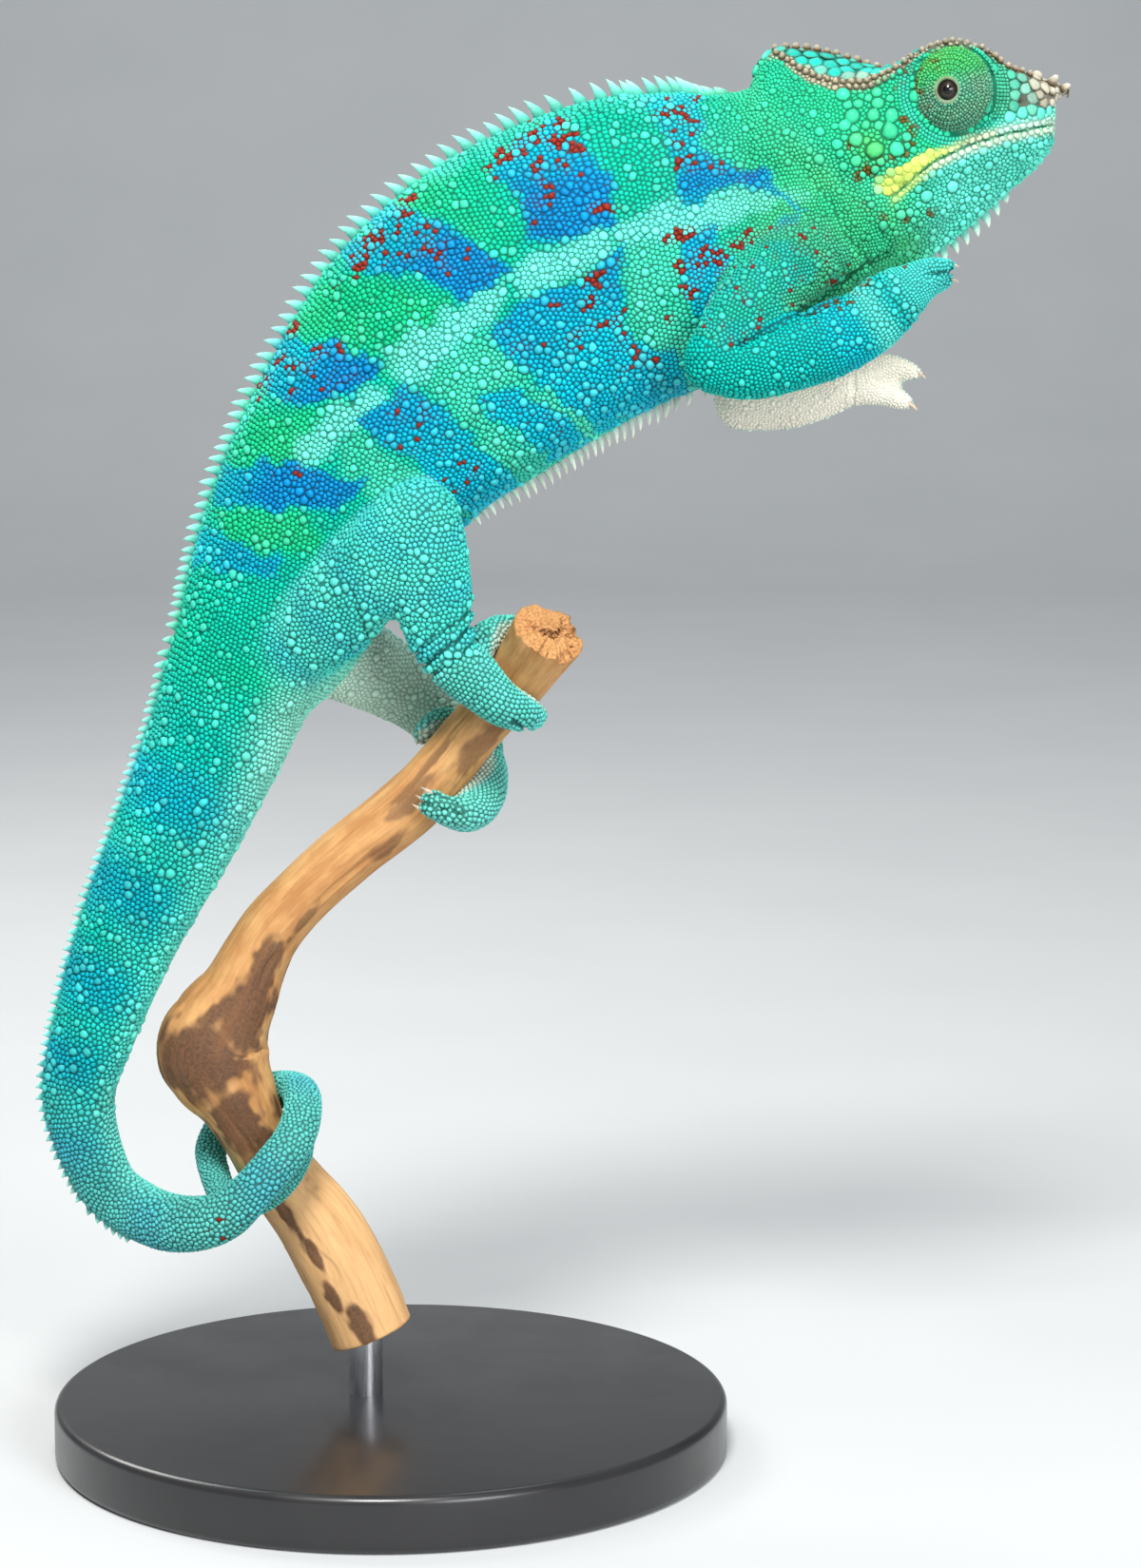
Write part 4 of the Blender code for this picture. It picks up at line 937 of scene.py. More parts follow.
def limb_tones(points, spot):
    """The markings of the legs and feet."""
    tones = blank_tones(len(points))
    part, s, v, w = spot["limb_part"], spot["ls"], spot["lv"], spot["lw"]
    broad, fine = noise(points, 6, 16), noise(points, 2.2, 18)
    folded = crease_gap(points, ARM_CREASE) + 9 * (points[:, 1] > -9)
    for name, index in PART.items():
        here = (part == index).astype(float)
        if name in ("torso", "head") or not here.any():
            continue
        left = "left" in name
        inner = ramp(-w, -0.45, 0.35) if left else ramp(w, 0.55, 0.95)
        inner = inner * (0.0 if name.startswith("hindfoot") else 1.0) * ramp(folded, 4, 7)
        if name == "forearm_left":
            inner = inner * ramp(v, -0.85, -0.55)
        put(tones, here, green=0.15 + 0.2 * (broad - 0.5), cyan=0.25 + 0.5 * (fine - 0.4),
            pale=0.1 + 0.35 * broad)
        if name.startswith("upper_arm"):
            put(tones, here, green=0.7, dusk=0.25, pale=0.15 * broad)
            put(tones, here * (1 - 0.8 * ramp(s, 14, 22)), lime=0.15 + 0.3 * ramp(broad, 0.45, 0.75))
            dots = ramp(noise(points, 1.2, 21) + 0.15 * (broad - 0.5), 0.68, 0.74)
            put(tones, here * (1 - inner), red=dots * (0.4 + 0.6 * (fine > 0.5)))
        if name.startswith("forearm"):
            put(tones, here, green=0.4 * (1 - ramp(s, 6, 20)), cyan=0.3 + 0.4 * near(s, 23, 6),
                pale=0.55 * near(s, 28.5, 3.5) + 0.4 * ramp(s, 31, 36))
        if name.startswith(("thigh", "shank")):
            bands = near(s % 9.0, 4.5, 3.6)
            put(tones, here, cyan=0.2 + 0.55 * bands * (0.4 + 0.6 * fine), dusk=0.06 + 0.14 * bands,
                pale=0.25 + 0.35 * broad)
        if name.startswith("hindfoot"):
            put(tones, here, pale=0.22 + 0.3 * fine, tan=0.2 if left else 0.12)
            at, _, _, out = branch.place(points)
            margin = 1 - ramp(branch.gap(at, out), 1.0, 2.6)
            put(tones, here * margin, tan=0.35)
            put(tones, here, cream=0.4 * margin)
        if name.startswith("forefoot"):
            put(tones, here, pale=0.4, cyan=0.45)
        put(tones, here * inner, pale=0.9, cream=by_limb(INNER_CREAM, name),
            tan=0.5 if name.startswith("forefoot") else 0.0, red=0.0)
    dots = ramp(noise(points, 0.9, 44), 0.56, 0.6) * near(folded, 0.6, 3.2)
    put(tones, ramp(points[:, 0], 68, 73), rust=ramp(dots, 0.3, 0.4))
    # In the arm crease: olive-brown rust, the skin's own colour, and dark teal dusk, which is painted shade
    # in the fold.
    put(tones, near(folded, 0, 1.0), rust=0.5 * ramp(points[:, 0], 70, 76), dusk=0.7)
    return tones


# ---- scales ----

TALL, BLUNT = 0.62, 0.8  # a plain scale's height in radii, and the size of its top for its foot


def blank_sites(points, radius, **extra):
    """Roots of plain scales at points, with some of their values given."""
    count = len(points)
    sites = {"pos": np.asarray(points, float), "radius": np.broadcast_to(radius, count).astype(float).copy(),
             "tall": np.full(count, TALL), "blunt": np.full(count, BLUNT), "raise": np.zeros(count),
             "bare": np.zeros(count, bool), "part": np.full(count, -1),
             "s": np.zeros(count), "v": np.zeros(count), "w": np.zeros(count)}
    for key, value in extra.items():
        sites[key] = np.broadcast_to(value, count).astype(sites[key].dtype).copy()
    return sites


def join_sites(*groups):
    return {key: np.concatenate([g[key] for g in groups]) for key in groups[0]}


def pick(sites, chosen):
    return {key: value[chosen] for key, value in sites.items()}


ROW_STEP = 0.87  # from one row to the next, in pitches
TORSO_PITCHES = [(0, 0.66), (25, 0.7), (45, 0.88), (140, 0.88), (175, 0.9), (230, 0.92), (290, 0.9),
                 (330, 0.78), (400, 0.5)]
LIMB_PITCHES = {"thigh": 0.86, "shank": 0.86, "upper_arm": 0.72, "forearm_right": 0.72, "forearm_left": 0.6,
                "hindfoot": 0.95, "forefoot": 0.62}


def lattice(loft, part, start, end, pitches, jitter):
    """Rows of scale roots round a body, each row half a step from the last."""
    fine = np.linspace(-math.pi / 2, 1.5 * math.pi, 121)
    groups, s, row = [], start, 0
    while s < end:
        ring = loft.surface(np.full(len(fine), s), fine)
        lengths = lengths_along(ring)
        step = float(read_table(s, pitches))
        count = max(6, round(lengths[-1] / step))
        share = (np.arange(count) + 0.5 * (row % 2) + 0.25 + rng.uniform(-jitter, jitter, count)) / count % 1
        turn = np.interp(share * lengths[-1], lengths, fine)
        where = np.clip(s + rng.uniform(-jitter, jitter, count) * step, 0, loft.length)
        points = loft.surface(where, turn)
        v, w, _ = loft.section(points, where)
        group = blank_sites(points, step / 2, part=PART[part], s=where)
        group["v"], group["w"] = v, w
        groups.append(group)
        s += step * ROW_STEP
        row += 1
    return join_sites(*groups)


def head_sizes(sites):
    """Sets the size, height and bluntness of scales on the head by their place."""
    x, z, y = sites["pos"][:, 0], sites["pos"][:, 2], np.abs(sites["pos"][:, 1])
    luck = rng.random(len(x))

    def set_where(where, low, high, tall=TALL, blunt=BLUNT):
        sites["radius"][where] = rng.uniform(low, high, where.sum())
        sites["tall"][where], sites["blunt"][where] = tall, blunt

    height, _ = mouth_offset(sites["pos"])
    above = height > 0.9
    set_where(x > 0, 0.28, 0.35)
    set_where(luck < 0.02, 0.5, 0.72, 0.62)
    jaw = (height < -0.8) & (x > 82)
    set_where(jaw, 0.3, 0.42, 0.5)
    set_where(jaw & (luck < 0.03), 0.55, 0.9, 0.55)
    set_where((x > 84) & above & (z < 236), 0.34, 0.5)
    cheek = (x > 77) & (x < 92) & (z > 225) & (z < 241) & (height > 0)
    set_where(cheek, 0.3, 0.45)
    set_where(cheek & (luck < 0.05), 0.6, 1.0, 0.55)
    snout, crown = plate_zones(sites["pos"])
    set_where(snout, 0.85, 1.15, 0.26, 0.92)
    sites["radius"][snout & (x > 114.8)] = 0.55
    set_where(crown, 1.0, 1.4, 0.22, 0.9)
    lip = any_of(x, z / FLANK, LIP_OUTLINE, 0.3) > 0.5
    set_where(lip & (y > 3), 0.75, 0.95, 0.16, 0.94)


def plate_zones(points):
    """Where the snout and the crown carry plates instead of small scales."""
    height, _ = mouth_offset(points)
    snout = (points[:, 0] > 102.5) & (height > 2.4)
    crown = (np.abs(points[:, 1]) < crest_half_width(points[:, 0]) - 0.9) & (points[:, 2] > 239)
    return snout, crown


PLATE_GROWTH = 1.36  # how much larger a cheek plate's root is than the plate that its neighbours leave
# Large domed plates on the cheek and jaw: x, z and radius.
CHEEK_PLATES = [
    (78.1, 238.7, 1.2), (79.6, 235.2, 1.2), (78.2, 233.6, 0.95), (80.7, 237.4, 0.8), (83, 235.4, 1),
    (83.9, 237.4, 0.95), (83.7, 239.2, 0.8), (86.2, 235.4, 1.15), (83.9, 233.6, 0.75), (82.2, 232.4, 1.5),
    (85.9, 232.6, 1.4), (80, 231.2, 1.05), (83.3, 229.4, 1.5), (86.9, 229.7, 1.2), (80.2, 227.6, 0.9),
    (88.7, 231.6, 0.7), (77.1, 230.5, 0.85), (74, 232.7, 0.75), (74, 228.1, 0.8), (73, 235.7, 0.65),
    (88.1, 218.7, 0.8), (92.4, 221.9, 0.95), (96.9, 223.6, 1), (99.4, 226.2, 0.75), (103, 227, 0.75),
]


# Raised plates in a cluster on the tip of the snout: x, z, radius and height in radii.
HORN_CONES = [
    (116.6, 240, 0.75, 2), (115.8, 241.1, 0.75, 2.4), (114.4, 241.3, 0.8, 2.2), (116.2, 238.7, 0.7, 1.6),
    (115, 239.7, 0.8, 1.2), (112.9, 241, 0.95, 1.7), (113.4, 239.4, 0.95, 0.8), (111.1, 240.9, 1.05, 1.3),
    (111.4, 238.8, 1, 0.5), (108.8, 241.1, 1.1, 0.9), (108.2, 242.9, 1.05, 1.2), (106.5, 243.3, 0.9, 1.1),
    (113, 237.4, 0.85, 0.5), (114.6, 237.6, 0.85, 0.5), (106, 240.1, 1.1, 0.4), (106.2, 237.3, 1.1, 0.35),
    (110.3, 236.9, 0.85, 0.35),
]


def skin_tree(skin):
    mesh = skin.data
    return BVHTree.FromPolygons([v.co for v in mesh.vertices], [p.vertices for p in mesh.polygons])


def snap(sites, tree, reach):
    """Moves the roots onto the skin and drops those too far from it."""
    limits = (reach + 1.2 * sites["raise"]) * MM
    hits = [tree.find_nearest(point, limit)[:2] for point, limit in zip(sites["pos"] * MM, limits)]
    kept = pick(sites, np.array([spot is not None for spot, _ in hits]))
    kept["pos"] = np.array([spot for spot, _ in hits if spot is not None], float) / MM
    kept["normal"] = np.array([normal for spot, normal in hits if spot is not None], float)
    return kept


LARGE = 0.65  # roots with a larger radius than this look further for their neighbours


def thin_out(sites, spacing, taken=0):
    """Keeps roots in order unless they crowd one kept before; the first `taken` stay."""
    pos, radius = sites["pos"], sites["radius"]
    tree = point_tree(pos)
    alive = np.ones(len(pos), bool)
    largest = radius.max()
    for i in range(len(pos)):
        if not alive[i]:
            continue
        other = largest if radius[i] > LARGE else LARGE
        for _, j, gap in tree.find_range(pos[i], spacing * (radius[i] + other)):
            if j > i and j >= taken and gap < spacing * (radius[i] + radius[j]):
                alive[j] = False
    return pick(sites, alive)


def point_tree(pos):
    tree = KDTree(len(pos))
    for i, point in enumerate(pos):
        tree.insert(point, i)
    tree.balance()
    return tree


def neighbours(pos, count):
    """The numbers of the nearest roots to each root."""
    tree = point_tree(pos)
    return np.array([[j for _, j, _ in tree.find_n(point, count + 1)][1:] for point in pos])


def relax(sites, tree, times):
    """Eases crowded roots apart and sets them back on the skin."""
    for _ in range(times):
        ids = neighbours(sites["pos"], 8)
        rel = sites["pos"][:, None] - sites["pos"][ids]
        gap = np.linalg.norm(rel, axis=2)
        want = sites["radius"][:, None] + sites["radius"][ids]
        push = np.clip(1.06 * want - gap, 0, None) * 0.3
        move = (rel / np.maximum(gap, 1e-6)[..., None] * push[..., None]).sum(1)
        sites["pos"] = sites["pos"] + move * ~sites["bare"][:, None]
        sites = snap(sites, tree, 1.5)
    return sites


def enlarge_some(rows, share, low, high, end=math.inf):
    """Makes a share of the scales larger, up to a length along the body, and tells which."""
    big = (rng.random(len(rows["pos"])) < share) & (rows["s"] < end)
    rows["radius"][big] *= rng.uniform(low, high, big.sum())
    return big


# How close scales may stand, in the sum of their radii: as laid out, and where gaps are filled.
LAID_SPACING, FILL_SPACING = 0.74, 0.86


def scale_sites(skin):
    """The roots of all the scales, on the skin."""
    tree = skin_tree(skin)
    groups = []
    for x, z, radius in CHEEK_PLATES:
        for sign in (1, -1):
            groups += site_from_side(tree, x, z, sign, radius * PLATE_GROWTH, tall=0.38)
    groups += bare_line(tree, MOUTH, (1, -1), 0.19) + bare_line(tree, ARM_CREASE[:3], (-1,), 0.03)
    groups += nostril_gaps(tree) + horn_sites(tree) + crest_sites() + lip_sites(tree) + socket_sites(tree)
    faces = read_points(skin.data, "polygons", "center") / MM
    ahead = (faces - NECK_PLANE) @ NECK_NORMAL
    on_head = faces[(ahead > -1) & (faces[:, 0] > 61)]
    on_head = on_head[np.abs(on_head[:, 1]) < 13.5]
    on_head = on_head[out_of_turrets(on_head) > 1.02]
    dense = np.repeat(on_head, 3, axis=0) + rng.uniform(-0.4, 0.4, (3 * len(on_head), 3))
    group = blank_sites(dense, 0.4, part=PART["head"])
    head_sizes(group)
    groups.append(pick(group, np.argsort(-group["radius"] + rng.uniform(0, 0.25, len(dense)))))

    body = lattice(torso, "torso", 4, torso.length - 0.5, TORSO_PITCHES, 0.2)
    big = enlarge_some(body, 0.08, 1.4, 2.0, 240)
    body["tall"][big] = 0.68
    by_leg = ramp(locate(body["pos"])["between"], -9, -3)
    body["radius"] *= 1 - 0.22 * by_leg
    groups += [pick(body, big), pick(body, ~big)]
    for name, loft in limbs.items():
        rows = lattice(loft, name, -1.5, loft.length + 1.5, [(0, by_limb(LIMB_PITCHES, name))], 0.18)
        big = enlarge_some(rows, 0.07, 1.5, 2.1)
        groups += [pick(rows, big), pick(rows, ~big)]
    for name, loft in bundles.items():
        groups.append(lattice(loft, name, -1, loft.length + 1.5, [(0, by_limb(LIMB_PITCHES, name))], 0.1))
    sites = snap(join_sites(*groups), tree, 1.05)
    sites = outside_turrets(thin_out(sites, LAID_SPACING))
    taken = len(sites["pos"])

    corners = read_points(skin.data) / MM
    spot = locate(corners)
    step = np.where(spot["part"] == 0, read_table(spot["s"], TORSO_PITCHES) / 2, 0.32)
    step[np.logical_or(*plate_zones(corners)) & (spot["part"] == PART["head"])] = 0.62
    for name, index in PART.items():
        if index > 1:
            step[spot["part"] == index] = by_limb(LIMB_PITCHES, name) / 2
    fill = blank_sites(corners, step)
    fill["normal"] = read_normals(skin.data)
    fill = outside_turrets(fill)
    shuffled = rng.permutation(len(fill["pos"]))
    sites = thin_out(join_sites(sites, pick(fill, shuffled)), FILL_SPACING, taken)
    return relax(sites, tree, 2)


def outside_turrets(sites):
    return pick(sites, out_of_turrets(sites["pos"]) >= 1.0)


def site_from_side(tree, x, z, sign, radius, least=0.0, **extra):
    """A list of the one root that a straight look from the side meets at x and z, if any."""
    hit = tree.ray_cast(Vector((x, sign * 30, z)) * MM, Vector((0, -sign, 0)))[0]
    if hit is None or hit.y * sign <= least * MM:
        return []
    return [blank_sites(np.array([hit]) / MM, radius, part=PART["head"], **extra)]


def line_sites(tree, line, marks, sides, radius, lift=0.0, **extra):
    """Roots at marks along a line of x and z, seen from the side."""
    line, groups = np.array(line), []
    steps = lengths_along(line)
    for at in marks:
        x, z = (np.interp(at, steps, line[:, k]) for k in (0, 1))
        for sign in sides:
            groups += site_from_side(tree, x, z + lift, sign, radius, -30, **extra)
    return groups


# Rows of lip plates: height over the mouth line, pitch, radius and height in radii.
LIP_ROWS = [(0.68, 1.3, 0.62, 0.4), (-0.74, 1.25, 0.6, 0.6)]


def lip_sites(tree):
    """Rows of plates along both lips."""
    end, groups = lengths_along(MOUTH)[-1] - 0.8, []
    for lift, pitch, radius, tall in LIP_ROWS:
        groups += line_sites(tree, MOUTH, np.arange(0.5, end, pitch), (1, -1), radius, lift, tall=tall)
    return groups


def socket_sites(tree):
    """Rings of small scales on the folds round each turret."""
    groups = []
    for out in FOLD_RINGS:
        count = round(TAU * out * TURRET_RADII[0] / 0.6)
        for turn in np.arange(count) * TAU / count:
            x = EYE[0] + math.cos(turn) * TURRET_RADII[0] * out
            z = EYE[2] + math.sin(turn) * TURRET_RADII[2] * out
            for sign in (1, -1):
                groups += site_from_side(tree, x, z, sign, 0.3, 3, tall=0.7)
    return groups


def bare_line(tree, line, sides, radius):
    """Bare roots that keep a line of x and z free of scales, seen from the side."""
    return line_sites(tree, line, np.arange(0.3, lengths_along(line)[-1], 0.4), sides, radius, bare=True)


def nostril_gaps(tree):
    """A bare root on each nostril."""
    return [site for sign in (1, -1) for site in site_from_side(tree, *NOSTRIL, sign, 0.85, bare=True)]


def horn_sites(tree):
    groups = []
    for x, z, radius, tall in HORN_CONES:
        for sign in (1, -1):
            hit = tree.find_nearest(Vector((x, sign * 2.6, z)) * MM)[0]
            groups.append(blank_sites(np.array([hit]) / MM, radius * 1.15, tall=tall, blunt=0.76,
                                      part=PART["head"], **{"raise": 0.9 * (tall > 0.65)}))
    return groups


def crest_sites():
    """Cones along the side crests from the back of the casque over the brows, and along the middle."""
    groups = []

    def cones(start, end, pitch, radius, line_of):
        rows = HEAD[(HEAD[:, 0] > start) & (HEAD[:, 0] < end)]
        line = np.stack(line_of(*rows[:, :4].T), axis=1)
        steps = lengths_along(line)
        at = np.arange(0.4, steps[-1], pitch)
        points = np.stack([np.interp(at, steps, line[:, k]) for k in range(3)], axis=1)
        sizes = radius * rng.uniform(0.88, 1.12, len(at))
        groups.append(blank_sites(points, sizes, tall=1.1, blunt=0.66, part=PART["head"], **{"raise": 1.3}))

    for sign in (1, -1):
        cones(64, 112, 1.35, 0.7, lambda x, crown, z, y: (x, sign * y, z))
        cones(68, 92, 1.3, 0.62, lambda x, crown, z, y: (x + 0.6, sign * (y + 0.5), z - 1.1))
    cones(64, 88, 1.8, 0.85, lambda x, crown, z, y: (x, 0 * x, crown))
    return groups


def lie(roots):
    """Two directions on the skin at each root: along the body and across it."""
    normal = roots["normal"]
    first = unit(roots["along"] - normal * (roots["along"] * normal).sum(1, keepdims=True))
    return first, np.cross(normal, first)


def reaches(sites, ids, chosen, sides, gap=0.02):
    """How far each chosen scale reaches each way: half way to its neighbours, with round corners."""
    pos, radius = sites["pos"][chosen], sites["radius"][chosen]
    first, second = lie(pick(sites, chosen))
    rel = sites["pos"][ids[chosen]] - pos[:, None]
    a, b = (rel * first[:, None]).sum(2), (rel * second[:, None]).sum(2)
    square = a * a + b * b
    share = radius[:, None] / (radius[:, None] + sites["radius"][ids[chosen]])
    limit = radius * np.where((sites["raise"][chosen] > 0) | (pos[:, 0] > 113.5), 1.12, 1.9)
    reach = np.empty((len(pos), sides))
    for k in range(sides):
        turn = TAU * (k + 0.5) / sides
        towards = a * math.cos(turn) + b * math.sin(turn)
        halfway = share * square / np.maximum(towards, 1e-6)
        halfway = np.where(towards > 0.1 * np.sqrt(square), halfway, 1e3)
        reach[:, k] = ((np.maximum(halfway, 1e-3)**-14.0).sum(1) + limit**-14.0)**(-1 / 14)
    return np.clip(reach - gap, radius[:, None] * 0.3, None)


PATCH_RADIUS = 0.0015  # the size of each scale's patch on the unwrap


def studs(name, roots, reach, rings, tones, lean=0.0, tip=None):
    """One mesh of closed scales or spines. Rings are (share of height, share of size) from the skin up.
    Tip gives the masks that the tips change to."""
    first, second = lie(roots)
    pos, normal, tall = roots["pos"], roots["normal"], roots["tall"] * roots["radius"]
    count, sides = reach.shape
    turns = TAU * (np.arange(sides) + 0.5) / sides
    ways = first[:, None] * np.cos(turns)[None, :, None] + second[:, None] * np.sin(turns)[None, :, None]
    layers = []
    for level, size in rings:
        lift = np.full(count, level) if level < 0 else level * tall
        size = np.full(count, size) if level < 0 else size * roots["blunt"]
        drift = first * (lean * np.maximum(lift, 0) * lift / tall)[:, None]
        centres = pos + normal * lift[:, None] + drift
        layers.append(centres[:, None] + ways * (reach * size[:, None])[..., None])
    layers.append((pos + normal * tall[:, None] + first * (lean * tall)[:, None])[:, None])
    verts = np.concatenate(layers, axis=1)
    per = verts.shape[1]
    k, n, last = np.arange(sides), (np.arange(sides) + 1) % sides, (len(rings) - 1) * sides
    quads = np.concatenate([np.stack([r + k, r + n, r + sides + n, r + sides + k], 1)
                            for r in range(0, last, sides)])
    caps = np.stack([last + k, last + n, np.full(sides, per - 1)], 1)
    pattern = np.concatenate([quads.ravel(), caps.ravel(), k[::-1]])
    sizes = np.concatenate([np.full(len(quads), 4), np.full(sides, 3), [sides]])
    obj = repeated_mesh(name, verts.reshape(-1, 3), pattern, sizes, count, per)

    u, v = patch_places(roots)
    shrink = PATCH_RADIUS * (1 - 0.3 * np.arange(len(rings)) / len(rings))
    out = np.concatenate([np.repeat(shrink, sides), [0.0]])
    angle = np.concatenate([np.tile(turns, len(rings)), [0.0]])
    patch = np.stack([u[:, None] + out * np.cos(angle), v[:, None] + out * np.sin(angle)], axis=2)
    layer = obj.data.uv_layers.new(name="OFBake")
    layer.data.foreach_set("uv", patch[:, pattern].astype(np.float32).ravel())

    spread = {key: np.repeat(value[:, None], per, axis=1) for key, value in tones.items()}
    # edge is 1 at a scale's foot and falls to 0 towards its top. It places painted shade round the foot,
    # where the scales meet, and also the red and brown that lie between the scales.
    levels = np.repeat([*[level for level, _ in rings], 1.0], [*[sides] * len(rings), 1])
    rise, edge = np.clip(levels, 0, 1), np.clip(1 - np.maximum(levels, 0) * 1.5, 0, 1)
    spread["edge"] = edge * spread["edge"]
    for key, value in (tip or {}).items():
        spread[key] = mix(spread[key], value, rise)
    spread["red"] = np.maximum(spread["red"], spread["gap"] * edge)
    spread["rust"] = np.maximum(spread["rust"], spread["crack"] * edge)
    paint_tones(obj.data, {key: value.ravel() for key, value in spread.items()})
    return obj


def repeated_mesh(name, verts, pattern, sizes, count, per):
    """A mesh that repeats one face pattern over count groups of per vertices."""
    mesh = bpy.data.meshes.new(name)
    mesh.vertices.add(len(verts))
    mesh.vertices.foreach_set("co", (verts * MM).astype(np.float32).ravel())
    corners = (pattern[None] + (np.arange(count) * per)[:, None]).ravel()
    mesh.loops.add(len(corners))
    mesh.loops.foreach_set("vertex_index", corners.astype(np.int32))
    starts = np.concatenate(([0], np.cumsum(np.tile(sizes, count))[:-1]))
    mesh.polygons.add(len(starts))
    mesh.polygons.foreach_set("loop_start", starts.astype(np.int32))
    mesh.update(calc_edges=True)
    mesh.shade_smooth()
    return linked_object(name, mesh)


def patch_places(roots):
    """Each root's place on an unwrap: along and around its own body part, one column for each part."""
    part, around = roots["part"], np.arctan2(roots["w"], roots["v"])
    u, v = np.empty(len(part)), np.empty(len(part))
    kinds = np.unique(part)
    for column, kind in enumerate(kinds):
        here = part == kind
        for target, value, low, size in ((u, around, (column + 0.03) / len(kinds), 0.94 / len(kinds)),
                                         (v, roots["s"], 0.02, 0.96)):
            span = max(np.ptp(value[here]), 1e-6)
            target[here] = low + size * (value[here] - value[here].min()) / span
    return u, v


def on_trunk(end, right=False):
    """Picks the scales of neck, trunk and tail up to a length, or only those on the right side."""
    return lambda q: (q["part"] == 0) & (q["s"] < end) & ((q["w"] < 0) | (not right))


def on_parts(*words):
    """Picks the scales of the parts that have one of these words in their names."""
    parts = [k for name, k in PART.items() if any(word in name for word in words)]
    return lambda q: np.isin(q["part"], parts)


# Pieces of the coat, in the order in which they take their scales.
GROUPS = [
    ("neck", on_trunk(42)),
    ("flank_front_right", on_trunk(85, True)), ("flank_front_left", on_trunk(85)),
    ("flank_rear_right", on_trunk(145, True)), ("flank_rear_left", on_trunk(145)),
    ("tail_base", on_trunk(200)), ("tail_middle", on_trunk(265)), ("tail_coil", on_trunk(math.inf)),
    ("head_right", lambda q: (q["part"] == 1) & (q["pos"][:, 1] < 0)), ("head_left", on_parts("head")),
    ("foreleg_right", on_parts("arm_right", "forefoot_right")),
    ("foreleg_left", on_parts("arm_left", "forefoot_left")),
    ("hindleg_right", on_parts("thigh_right", "shank_right", "hindfoot_right")),
    ("hindleg_left", on_parts("thigh_left", "shank_left", "hindfoot_left")),
]
FINE_GROUPS = ("neck", "flank", "tail_base", "head")  # these have eight sides to a scale, the rest six
SCALE_RINGS = [(-0.14, 1.0), (0.62, 1.0)]
HEAD_RINGS = [(-0.14, 1.0), (0.48, 1.08), (0.86, 0.7)]


def build_scales(skin, material):
    sites = scale_sites(skin)
    spot = locate(sites["pos"], sites)
    for key in ("part", "s", "v", "w"):
        sites[key] = spot[key].copy()
    ids = neighbours(sites["pos"], 14)
    sites["normal"] = unit(sites["normal"] + sites["normal"][ids[:, :6]].sum(1) * 0.5)
    lean = np.interp(sites["pos"][:, 0], [100, 108], [-0.15, 0.45])
    up = np.stack([lean, 0 * lean, 0 * lean + 1], axis=1)
    sites["normal"] = unit(sites["normal"] + sites["raise"][:, None] * up)
    sites["along"] = lie_of_coat(sites)
    tones = scale_character(sites, markings(sites["pos"], spot))
    on_head = sites["part"] == PART["head"]
    sites["s"][on_head] = sites["pos"][on_head, 0]
    sites["v"][on_head] = (sites["pos"][on_head, 2] - 228) / 16
    sites["w"][on_head] = sites["pos"][on_head, 1] / 10
    left = ~sites["bare"]
    for name, belongs in GROUPS:
        chosen = np.flatnonzero(left & belongs(sites))
        left[chosen] = False
        sides = 8 if name.startswith(FINE_GROUPS) else 6
        reach = reaches(sites, ids, chosen, sides)
        rings = HEAD_RINGS if name.startswith("head") else SCALE_RINGS
        piece = studs(f"scales_{name}", pick(sites, chosen), reach, rings, pick(tones, chosen))
        finish_piece(piece, material)


def lie_of_coat(sites):
    """The direction towards the tail or the toes along the body, for each scale."""
    along = np.tile((-1.0, 0.0, 0.0), (len(sites["pos"]), 1))
    for name, loft in ({"torso": torso} | limbs | bundles).items():
        here = sites["part"] == PART[name]
        if here.any():
            along[here] = loft.frame(sites["s"][here])[1]
    return along


def scale_character(sites, tones):
    """Each scale's own small differences: tubercles paler, flecks mostly on and between the small scales."""
    own = rng.random(len(sites["pos"]))
    on_head = sites["part"] == PART["head"]
    large = ramp(sites["radius"], 0.5, 0.8) * (tones["crack"] < 0.3)
    cheek = large * on_head * ramp(sites["pos"][:, 2], 223, 227)
    tones["pale"] = np.clip(tones["pale"] + (0.26 * large - 0.14 * cheek) * (1 - 0.6 * tones["blue"]), 0, 1)
    tones["lime"] = np.clip(tones["lime"] + 0.12 * cheek * near(sites["pos"][:, 0], 83, 7), 0, 1)
    tones["own"] = 0.5 + (own - 0.5) * (1 - 0.6 * tones["cream"])
    # How strongly painted shade darkens each scale's foot: less on the head, least on the yellow lip.
    tones["edge"] = np.where(on_head, 0.75 - 0.6 * tones["yellow"], 1.0)
    tones["gap"] = tones["red"].copy()
    tones["red"] = (tones["red"] > 0.5) & (own < 0.42) & (sites["radius"] < 0.7)
    tones["gap"] = np.maximum(tones["gap"] * 0.6, tones["red"])
    tones["rust"] = np.where(on_head, tones["rust"], 0.95 * (tones["rust"] > 0.5))
    tones["crack"] = np.maximum(tones["crack"], tones["rust"])
    tones["rust"] = tones["rust"] * (1 - ramp(sites["radius"], 0.5, 0.7)) * ((own < 0.45) | on_head)
    return tones


# ---- spines and crests ----

def crest_roots(points, normals, along, radius, height, part, s):
    roots = blank_sites(points, radius, part=PART[part], s=s)
    roots["tall"] = np.asarray(height) / roots["radius"]
    roots["normal"], roots["along"] = unit(np.asarray(normals, float)), np.asarray(along, float)
    roots["blunt"][:] = 1.0
    return roots


def long_reach(roots, sides, narrow):
    """Spines are longer along the body than across."""
    turns = TAU * (np.arange(sides) + 0.5) / sides
    shape = 1 / np.sqrt(np.cos(turns)**2 + (np.sin(turns) / narrow)**2)
    return roots["radius"][:, None] * shape[None]


